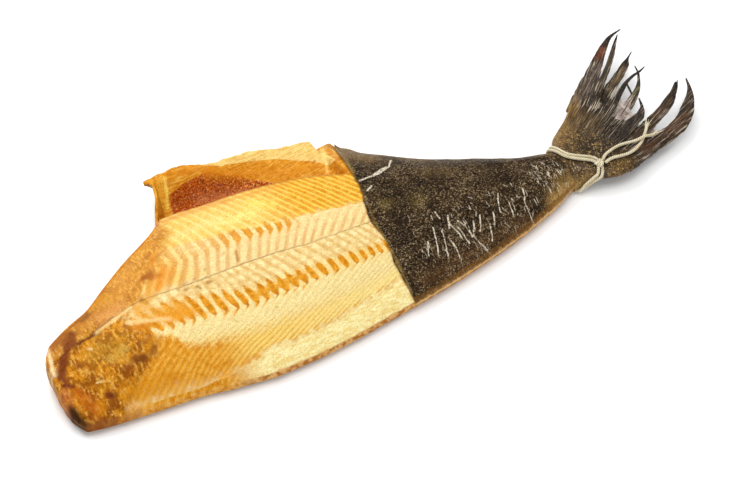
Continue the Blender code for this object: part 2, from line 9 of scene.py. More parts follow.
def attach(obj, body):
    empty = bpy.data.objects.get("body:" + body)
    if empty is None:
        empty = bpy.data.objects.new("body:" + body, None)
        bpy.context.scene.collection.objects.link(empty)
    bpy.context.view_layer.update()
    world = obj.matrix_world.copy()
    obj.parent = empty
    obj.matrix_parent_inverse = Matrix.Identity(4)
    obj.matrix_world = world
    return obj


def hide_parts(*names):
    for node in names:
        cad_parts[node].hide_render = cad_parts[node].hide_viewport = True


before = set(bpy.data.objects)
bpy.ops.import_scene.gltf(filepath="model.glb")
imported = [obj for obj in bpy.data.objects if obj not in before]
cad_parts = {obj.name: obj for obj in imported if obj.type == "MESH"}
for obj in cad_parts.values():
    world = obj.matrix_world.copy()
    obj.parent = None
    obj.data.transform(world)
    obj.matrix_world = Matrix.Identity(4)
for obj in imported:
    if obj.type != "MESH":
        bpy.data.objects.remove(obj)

# A headless smoked halibut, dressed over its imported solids. Places are in metres: x from the head cut
# to the tail, y from the back to the belly, z up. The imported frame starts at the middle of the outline.
middle = np.array((0.0194, 0.0252, 0.0))
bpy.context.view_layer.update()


# Camera, floor and lights
view = {"lens": 80.0, "sensor": 36.0, "azimuth": -30.0, "elevation": 48.0, "distance": 1.1698}
studio = {
    "skyLight": 0.28,
    "floor": 0.96,
    # name: place, what it faces, width, height, power
    "lamps": {
        "behind": ((-0.25, 1.05, 1.15), (0.0, 0.0, 0.0), 1.3, 0.9, 20.0),
        "above": ((0.10, -0.10, 1.40), (0.0, 0.0, 0.0), 1.2, 1.2, 13.0),
        "front": ((-0.35, -1.20, 0.80), (0.0, 0.0, 0.0), 0.9, 0.7, 7.0),
    },
}


def makeCamera():
    # It looks at the middle of the outline from its azimuth and elevation, at its distance.
    turn, rise = math.radians(view["azimuth"]), math.radians(view["elevation"])
    back = Vector((math.sin(turn) * math.cos(rise), -math.cos(turn) * math.cos(rise), math.sin(rise)))
    lens = bpy.data.cameras.new("camera")
    lens.lens, lens.sensor_width = view["lens"], view["sensor"]
    lens.clip_start, lens.clip_end = 0.05, 20
    made = bpy.data.objects.new("camera", lens)
    made.location = Vector(-middle) + back * view["distance"]
    made.rotation_euler = (-back).to_track_quat("-Z", "Y").to_euler()
    bpy.context.scene.collection.objects.link(made)
    bpy.context.scene.camera = made


def makeStudio():
    # A white sky, and three flat lamps that each face their own target.
    world = bpy.data.worlds.new("paleRoom")
    world.use_nodes = True
    sky = world.node_tree.nodes["Background"]
    sky.inputs["Color"].default_value = (1, 1, 1, 1)
    sky.inputs["Strength"].default_value = studio["skyLight"]
    bpy.context.scene.world = world
    bpy.context.scene.view_settings.view_transform = "Standard"
    for name, (place, target, width, height, power) in studio["lamps"].items():
        lamp = bpy.data.lights.new(name, "AREA")
        lamp.shape, lamp.size, lamp.size_y, lamp.energy = "RECTANGLE", width, height, power
        made = bpy.data.objects.new(name, lamp)
        made.location = place
        made.rotation_euler = (Vector(target) - Vector(place)).to_track_quat("-Z", "Y").to_euler()
        bpy.context.scene.collection.objects.link(made)


makeCamera()
makeStudio()
print("halibut: camera and lights")


def tone(red, green, blue):
    # A colour as seen on a screen, 0 to 255, as light: ((c / 255 + 0.055) / 1.055) to the power 2.4.
    return tuple(((c / 255 + 0.055) / 1.055) ** 2.4 for c in (red, green, blue)) + (1.0,)


class Sock:
    # One output of a node. Signs between it and a number or another output add a Math node.
    def __init__(self, finish, socket):
        self.finish, self.socket = finish, socket

    def sum(self, operation, *values):
        # One Math node.
        return self.finish.node("ShaderNodeMath", {"operation": operation}, dict(enumerate(values)))

    def __add__(self, other):
        return self.sum("ADD", self, other)

    def __radd__(self, other):
        return self.sum("ADD", other, self)

    def __sub__(self, other):
        return self.sum("SUBTRACT", self, other)

    def __rsub__(self, other):
        return self.sum("SUBTRACT", other, self)

    def __mul__(self, other):
        return self.sum("MULTIPLY", self, other)

    def __rmul__(self, other):
        return self.sum("MULTIPLY", other, self)

    def smooth(self, low, high):
        # 0 below low, 1 above high, and an S between.
        settings = {"interpolation_type": "SMOOTHSTEP"}
        return self.finish.node("ShaderNodeMapRange", settings, {0: self, 1: low, 2: high})

    def within(self, low, high, soft=0.12):
        # 1 between low and high, and 0 outside, with soft ends.
        return self.smooth(low - soft, low + soft) * (1 - self.smooth(high - soft, high + soft))

    def wave(self, count):
        # Half of 1 + cos(2 pi * count * value): 1 on the beat and 0 between.
        turned = self * (2 * math.pi * count)
        return turned.sum("COSINE", turned) * 0.5 + 0.5


class Finish:
    # A material on one Principled shader, with its fixed values given by socket name. Its colour is
    # painted in layers and fed in last.
    def __init__(self, name, fixed):
        self.material = bpy.data.materials.new(name)
        self.material.use_nodes = True
        self.tree = self.material.node_tree
        self.shader = self.tree.nodes["Principled BSDF"]
        for socket, value in fixed.items():
            self.shader.inputs[socket].default_value = value

    def node(self, kind, settings, values, out=0):
        # Adds a node with its settings, links or sets its inputs, and gives one of its outputs.
        made = self.tree.nodes.new(kind)
        for name, value in settings.items():
            setattr(made, name, value)
        for socket, value in values.items():
            if isinstance(value, Sock):
                self.tree.links.new(value.socket, made.inputs[socket])
            else:
                made.inputs[socket].default_value = value
        return Sock(self, made.outputs[out])

    def place(self, scale=None):
        # The place on the object, with each axis times its own scale.
        found = self.node("ShaderNodeTexCoord", {}, {}, "Object")
        if scale:
            found = self.node("ShaderNodeVectorMath", {"operation": "MULTIPLY"}, {0: found, 1: scale})
        return found

    def value(self, name, out="Fac"):
        # A named value of the mesh's points.
        return self.node("ShaderNodeAttribute", {"attribute_name": name}, {}, out)

    def sprayed(self):
        # The colour sprayed on the mesh's points, and how much of it there is.
        return self.value("tint", "Color"), self.value("tint", "Alpha")

    def triple(self, x, y, z=0.0):
        return self.node("ShaderNodeCombineXYZ", {}, {0: x, 1: y, 2: z})

    def noise(self, place, scale, detail=2.0, roughness=0.5):
        values = {"Vector": place, "Scale": scale, "Detail": detail, "Roughness": roughness}
        return self.node("ShaderNodeTexNoise", {}, values)

    def cells(self, place, scale, out="Distance"):
        return self.node("ShaderNodeTexVoronoi", {}, {"Vector": place, "Scale": scale}, out)

    def mix(self, share, one, other, kind="MIX"):
        # Colours given as three numbers are as seen on a screen.
        one, other = (tone(*c) if isinstance(c, tuple) and len(c) == 3 else c for c in (one, other))
        settings = {"data_type": "RGBA", "blend_type": kind}
        return self.node("ShaderNodeMix", settings, {0: share, 6: one, 7: other}, 2)

    def paint(self, share, colour, kind="MIX"):
        # Lays a colour over what the finish has so far.
        self.colour = self.mix(share, self.colour, colour, kind)

    def feed(self, **sockets):
        # Links outputs to the shader's inputs. A _ stands for a space in their names.
        for name, value in sockets.items():
            self.tree.links.new(value.socket, self.shader.inputs[name.replace("_", " ")])

    def bump(self, height, distance):
        values = {"Height": height, "Distance": distance, "Strength": 1.0}
        self.feed(Normal=self.node("ShaderNodeBump", {}, values))


def floorFinish():
    # White, and barely blotched.
    look = Finish("paleFloor", {"Roughness": 0.9, "Specular IOR Level": 0.1})
    share = look.noise(look.place(), 3.0).smooth(0.3, 0.7)
    bright = studio["floor"]
    look.feed(Base_Color=look.mix(share, (bright, bright, bright, 1), (bright * 0.99,) * 3 + (1,)))
    return look.material


def makeFloor():
    # A square of 8 m, which only the pictures show.
    mesh = bpy.data.meshes.new("floor")
    mesh.from_pydata([(-4, -4, 0), (4, -4, 0), (4, 4, 0), (-4, 4, 0)], [], [(0, 1, 2, 3)])
    made = bpy.data.objects.new("floor", mesh)
    bpy.context.scene.collection.objects.link(made)
    mesh.materials.append(floorFinish())


makeFloor()


def ease(t):
    # An S from 0 to 1: t * t * (3 - 2 t), with t held between 0 and 1.
    t = np.clip(t, 0, 1)
    return t * t * (3 - 2 * t)


def cubic(at, x0, x1, y0, y1, slope0, slope1):
    # The cubic from y0 at x0 to y1 at x1 with the given slopes at its ends.
    step = x1 - x0
    t = (at - x0) / step
    ends = y0 * (1 + 2 * t) * (1 - t) ** 2 + y1 * t**2 * (3 - 2 * t)
    return ends + slope0 * step * t * (1 - t) ** 2 + slope1 * step * t**2 * (t - 1)


def through(stations, at):
    # A smooth curve through stations (x, y) that never swings past them: each inner slope is the
    # harmonic mean of the slopes beside it, or none where they turn.
    x, y = np.array(stations, float).T
    rise = np.diff(y) / np.diff(x)
    slope = np.zeros(len(x))
    before, after = rise[:-1], rise[1:]
    same = before * after > 0
    slope[1:-1][same] = 2 * before[same] * after[same] / (before[same] + after[same])
    slope[0], slope[-1] = rise[0], rise[-1]
    at = np.clip(np.asarray(at, float), x[0], x[-1])
    k = np.clip(np.searchsorted(x, at) - 1, 0, len(rise) - 1)
    return cubic(at, x[k], x[k + 1], y[k], y[k + 1], slope[k], slope[k + 1])


def rough(x, y, size, seed, octaves=2):
    # Random hills from -1 to 1: seeded heights on a square net, blended by ease between its knots,
    # with each further octave half as wide and half as high.
    total, height, whole = 0, 1, 0
    for octave in range(octaves):
        table = np.random.default_rng(seed + octave).uniform(-1, 1, (128, 128))
        across, along = x / size, y / size
        i, j = np.floor(across).astype(int), np.floor(along).astype(int)
        s, t = ease(across - i), ease(along - j)
        i, j = i % 127, j % 127
        near = table[i, j] * (1 - s) + table[i + 1, j] * s
        far = table[i, j + 1] * (1 - s) + table[i + 1, j + 1] * s
        total = total + (near * (1 - t) + far * t) * height
        whole += height
        size, height = size / 2, height / 2
    return total / whole


def fromStroke(x, y, stroke):
    # Distance from the straight stroke (x0, y0, x1, y1), which is in millimetres.
    x0, y0, x1, y1 = (value / 1000 for value in stroke)
    dx, dy = x1 - x0, y1 - y0
    t = np.clip(((x - x0) * dx + (y - y0) * dy) / max(dx * dx + dy * dy, 1e-9), 0, 1)
    return np.hypot(x - x0 - t * dx, y - y0 - t * dy)


def airbrush(x, y, sprays, seed):
    # Colours sprayed over each other. One covers share * exp(-(distance / reach) squared), where
    # the distance from its stroke is bent by noise. Gives colour and cover as four columns.
    colour, cover = np.zeros((*x.shape, 3)), np.zeros(x.shape)
    bend = 1 + 0.45 * rough(x, y, 0.006, seed, 3)
    for *stroke, reach, seen, share in sprays:
        part = share * np.exp(-((fromStroke(x, y, stroke) * bend * 1000 / reach) ** 2))
        colour = colour * (1 - part[..., None]) + part[..., None] * np.array(tone(*seen)[:3])
        cover = cover * (1 - part) + part
    return np.concatenate([colour / np.maximum(cover, 1e-4)[..., None], cover[..., None]], -1)


def makePiece(name, node, slot, material, points, quads, others=(), values=()):
    # Puts arrays of places, four-sided faces and other faces into a mesh, with named values at its
    # points for the finish. A piece without a node is added to the part and replaces nothing.
    corners = np.concatenate([np.asarray(quads).reshape(-1), *map(np.asarray, others)]).astype(np.int32)
    sizes = np.array([4] * len(quads) + [len(other) for other in others])
    mesh = bpy.data.meshes.new(name)
    mesh.vertices.add(len(points))
    mesh.vertices.foreach_set("co", (points - middle).astype(np.float32).ravel())
    mesh.loops.add(len(corners))
    mesh.loops.foreach_set("vertex_index", corners)
    mesh.polygons.add(len(sizes))
    mesh.polygons.foreach_set("loop_start", (np.cumsum(sizes) - sizes).astype(np.int32))
    mesh.update(calc_edges=True)
    mesh.polygons.foreach_set("use_smooth", np.ones(len(sizes), bool))
    for label, value in dict(values).items():
        kind, field = ("FLOAT_COLOR", "color") if value.ndim == 2 else ("FLOAT", "value")
        kept = mesh.attributes.new(label, kind, "POINT")
        kept.data.foreach_set(field, value.astype(np.float32).ravel())
    mesh.materials.append(material)
    made = bpy.data.objects.new(name, mesh)
    bpy.context.scene.collection.objects.link(made)
    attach(made, "root")
    if node:
        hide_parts(node)
    print("halibut:", name, len(quads) * 2, "triangles")
    return made


def netQuads(net):
    # The four-sided faces between neighbours of a net of indices.
    return np.stack([net[:-1, :-1], net[1:, :-1], net[1:, 1:], net[:-1, 1:]], -1).reshape(-1, 4)


def borderLoop(rows, columns):
    # The indices round the border of a net: up its first column, along its last row and back.
    net = np.arange(rows * columns).reshape(rows, columns)
    return np.concatenate([net[:, 0], net[-1, 1:], net[-2::-1, -1], net[0, -2:0:-1]])


def outward(places):
    # Unit normals, seen from above, of a closed loop that runs anticlockwise.
    along = np.roll(places, -1, 0) - np.roll(places, 1, 0)
    length = np.maximum(np.hypot(along[:, 0], along[:, 1]), 1e-9)
    return np.stack([along[:, 1], -along[:, 0]], 1) / length[:, None]


def joined(parts):
    # Several meshes as one, with the indices of each moved past the points before it.
    starts = np.cumsum([0] + [len(part[0]) for part in parts])
    points, quads, others, values = zip(*parts)
    quads = np.concatenate([face + start for face, start in zip(quads, starts)])
    others = [face + start for faces, start in zip(others, starts) for face in faces]
    values = {label: np.concatenate([own[label] for own in values]) for label in values[0]}
    return np.concatenate(points), quads, others, values


def slightBulge(share, ring):
    # 0.3 mm in the middle of the wall and none at its ends.
    return 0.0003 * math.sin(math.pi * share)


def closedSheet(top, bottom, keep, values, count=3, push=slightBulge):
    # A closed slab: the top net, a wall of count rings round it, and the bottom net on its kept
    # columns alone. Values given on the net are carried down the wall, and "side" runs from 0 on
    # top to 1. The rings lie on the straight way down, pushed outwards by push(share, loop places).
    rings = wallRings(top, bottom, count, push)
    rows, columns = top.shape[:2]
    loop = borderLoop(rows, columns)
    net = np.arange(rows * columns).reshape(rows, columns)
    used = np.zeros((rows, columns), bool)
    used[:, keep] = used[0] = used[-1] = True
    under = np.full((rows, columns), -1)
    under[used] = net.size + np.arange(used.sum())
    ringIds = net.size + used.sum() + np.arange(len(rings) * len(loop)).reshape(len(rings), -1)
    levels = np.concatenate([under.reshape(-1)[loop][None], ringIds, loop[None]])
    levels = np.concatenate([levels, levels[:, :1]], 1).T
    quads = [netQuads(net), netQuads(levels), netQuads(under[1:-1][:, keep])[:, ::-1]]
    others = []
    for a, b in zip(keep[:-1], keep[1:]):
        others.append([*under[0, a : b + 1], under[1, b], under[1, a]])
        others.append([under[-2, a], under[-2, b], *under[-1, a : b + 1][::-1]])
    shares = (np.arange(len(rings)) + 1) / (len(rings) + 1)
    side = [np.zeros(net.size), np.ones(used.sum()), np.repeat(1 - shares, len(loop))]
    carried = {"side": np.concatenate(side)}
    for label, value in values.items():
        flat = value.reshape(net.size, -1)
        parts = [flat, value[used].reshape(-1, flat.shape[1]), np.tile(flat[loop], (len(rings), 1))]
        whole = np.concatenate(parts)
        carried[label] = whole if flat.shape[1] > 1 else whole[:, 0]
    points = np.concatenate([top.reshape(-1, 3), bottom[used], rings.reshape(-1, 3)])
    return points, np.concatenate(quads), others, carried


def wallRings(top, bottom, count, push):
    # The loops between the borders of both nets, from below: each is lower * (1 - share) +
    # upper * share, and moves along its outward normals by push.
    loop = borderLoop(*top.shape[:2])
    upper, lower = top.reshape(-1, 3)[loop], bottom.reshape(-1, 3)[loop]
    out = outward(upper[:, :2])
    rings = []
    for share in np.arange(1, count + 1) / (count + 1):
        ring = lower * (1 - share) + upper * share
        ring[:, :2] += out * np.reshape(push(share, ring), (-1, 1))
        rings.append(ring)
    return np.array(rings)


# The body's own shape, as in the solids. Its lines are x and y or x and height, in millimetres, but
# for skinLine, which is y and x, and crownShare, which is x and the share of the crown's height.
body = {
    "crown": 0.0390,  # height of the middle at its thickest
    "skin": 0.0014,
    "gap": 0.0003,  # between flesh and skins
    "seamX": 0.1480,  # where the body ends and the tail begins
    "edgeTop": 0.0085,
    "edgeLift": 0.0012,
    "edgeBulge": 0.0016,
    "edgeFrom": 0.74,
    "tailLift": 0.0036,
    "lump": (0.0130, 0.0930),  # the bulge behind the cavity
    "lumpHeight": 0.0090,
    "lumpLength": 0.0080,
    "lumpWidth": 0.0110,
    "headX": -0.2430,
    "headRound": 0.0050,
    "headBow": 0.0015,
    "cavityStart": -0.1285,
    "cavityEnd": 0.0035,
    "lipShare": 0.16,  # of the cavity's width, in which its wall goes down
    "leastWidth": 0.0035,
    "flapWall": 0.0030,
    "flapFrom": 0.42,  # share of the cavity's width at which the belly wall rises
    "undercutEnd": -0.048,
    "undercutFade": 0.026,
    "bellyTrim": 0.0012,
    "backEdge": (
        (-244, -45.5), (-238, -47.5), (-220, -51.5), (-190, -55.3), (-160, -59), (-148, -62), (-128, -66),
        (-110, -68.5), (-85, -69), (-60, -67.8), (-30, -64.8), (10, -60.4), (50, -54.2), (90, -45.5),
        (130, -33.5), (150, -27),
    ),
    "bellyEdge": (
        (-244, 3), (-238, 8.5), (-230, 12.5), (-220, 16.5), (-208, 20), (-190, 31.5), (-170, 45), (-150, 58),
        (-138, 68), (-128.5, 80.5), (-125.2, 89.5), (-120.5, 97.5), (-117.8, 106), (-116, 115),
        (-113, 117.8), (-105, 118), (-94, 119.4), (-86, 117.2), (-78, 113.5), (-66, 111.8), (-50, 111.2),
        (-40, 109.5), (-28, 105.3), (-10, 99.8), (5, 95.5), (10, 92.5), (15, 90.5), (19, 86), (24, 78.5),
        (37, 69), (57, 52), (77, 40), (97, 29.3), (122, 15.5), (142, 8), (150, 6.5),
    ),
    "lip": (
        (-140, 86), (-125, 83.5), (-115, 80.5), (-105, 76), (-90, 72), (-74, 69.5), (-60, 66.5), (-50, 63.5),
        (-38, 59.5), (-22, 54), (-10, 47.5), (0, 42), (10, 39.5), (30, 39), (57, 32), (100, 17), (150, 1),
    ),
    "wholeBelly": (
        (-244, 62), (-200, 75), (-150, 88), (-100, 96), (-50, 98.5), (0, 93.5), (24, 79.5), (37, 69.7),
        (57, 52.7), (77, 40.7), (97, 30), (122, 16.2), (150, 7.2),
    ),
    "crownShare": (
        (-244, 0.69), (-200, 0.85), (-150, 0.97), (-80, 1), (0, 0.97), (50, 0.87), (100, 0.69), (130, 0.56),
        (150, 0.46),
    ),
    "cavityFloor": ((-130, 7.5), (-75, 8), (-45, 13), (-20, 19), (8, 24)),
    "flapRim": (
        (-130, 19), (-117, 23), (-100, 23.5), (-84, 22), (-60, 21), (-30, 20.5), (-10, 21), (6, 22),
        (12, 20),
    ),
    "skinLine": (
        (-64, -5.5), (-54, -7.8), (-42, -8.8), (-30, -6.8), (-20, -6), (-10, -7.8), (1, -6.4), (10, -3.6),
        (21, 0.3), (38, 3), (52, 5.2), (70, 9.5), (88, 16),
    ),
}


def bodyLine(name, x):
    # One of the body's lines at x, in metres, from its stations in millimetres.
    return through(np.array(body[name]) / 1000, x)


def edges(x):
    # The back edge, the lip of the cavity and the belly edge at x.
    belly = bodyLine("bellyEdge", x)
    return bodyLine("backEdge", x), np.minimum(bodyLine("lip", x), belly - body["leastWidth"]), belly


def placeAcross(x, u, w):
    # y at the share u of the way from the back to the lip, and w of the way from there to the belly.
    back, lip, belly = edges(x)
    return back + (lip - back) * u + (belly - lip) * w


def sharesAcross(inner, outer, start=0):
    # Column by column, u up to 1 at the lip and w on from 0 there to 1 at the belly edge.
    u = np.concatenate([np.linspace(start, 1, inner), np.ones(outer - 1)])
    return u, np.concatenate([np.zeros(inner), np.linspace(0, 1, outer)[1:]])


def cavityAt(x, y):
    # How much cavity there is, from 0 to 1, and the share of the way from its lip to its rim.
    _, lip, belly = edges(x)
    across = (y - lip) / (belly - lip)
    along = ease((x - body["cavityStart"]) / 0.008) * ease((body["cavityEnd"] - x) / 0.004)
    return along * (across > 0), np.clip(across, 0, 1)


def acrossBody(x, y):
    # 0 on the middle of the body without its cavity, and 1 at its edges.
    near, far = bodyLine("backEdge", x), bodyLine("wholeBelly", x)
    return np.abs(np.clip((2 * y - near - far) / (far - near), -1, 1))


def lumpAt(x, y):
    # exp(-(dx / length) squared - (dy / width) squared) round the bulge behind the cavity.
    dx, dy = x - body["lump"][0], y - body["lump"][1]
    return np.exp(-((dx / body["lumpLength"]) ** 2) - (dy / body["lumpWidth"]) ** 2)


def domeAt(x, y):
    # Height of the whole body: edge + (crown - edge) * (1 - v to the 2.4) to the 0.85, with the lump.
    crown = body["crown"] * through([(at / 1000, share) for at, share in body["crownShare"]], x)
    smooth = body["edgeTop"] + (crown - body["edgeTop"]) * (1 - acrossBody(x, y) ** 2.4) ** 0.85
    return smooth + body["lumpHeight"] * lumpAt(x, y)


def meatTop(x, y):
    # The dome, dropped to the floor of the cavity past the lip and raised again in the belly wall.
    share, across = cavityAt(x, y)
    climb = ease((across - body["flapFrom"]) / (1 - body["flapFrom"]))
    floor = bodyLine("cavityFloor", x)
    wall = climb * (bodyLine("flapRim", x) - floor)
    drop = ease(across / body["lipShare"]) * share
    return domeAt(x, y) * (1 - drop) + (floor + wall) * drop


def meatBottom(x, y):
    # Flat over the blind skin, a little higher at the edges and towards the tail. Under the rim of
    # the cavity it rises to flapWall below the top.
    share, across = cavityAt(x, y)
    edge = ease((acrossBody(x, y) - body["edgeFrom"]) / (1 - body["edgeFrom"]))
    lift = body["edgeLift"] * edge * (1 - share)
    tail = body["tailLift"] * ease((x - 0.105) / 0.040)
    flat = body["skin"] + body["gap"] + np.maximum(lift, tail)
    hollow = ease((body["undercutEnd"] - x) / body["undercutFade"])
    rise = ease((across - body["flapFrom"] - 0.04) / 0.30) * share * hollow
    return flat * (1 - rise) + np.maximum(meatTop(x, y) - body["flapWall"], flat) * rise


def bodyNet(places, u, w):
    # Places over the body on lines across it. The first line is the head cut: nearly straight, with
    # round corners. The places go from there to the seam.
    t = 0.82 * u + 0.18 * w
    cut = body["headRound"] * np.abs(2 * t - 1) ** 5 - body["headBow"] * np.sin(math.pi * t)
    places = places[:, None]
    x = places + cut * (1 - ease((places - body["headX"]) / 0.06))
    return x, placeAcross(x, u, w)


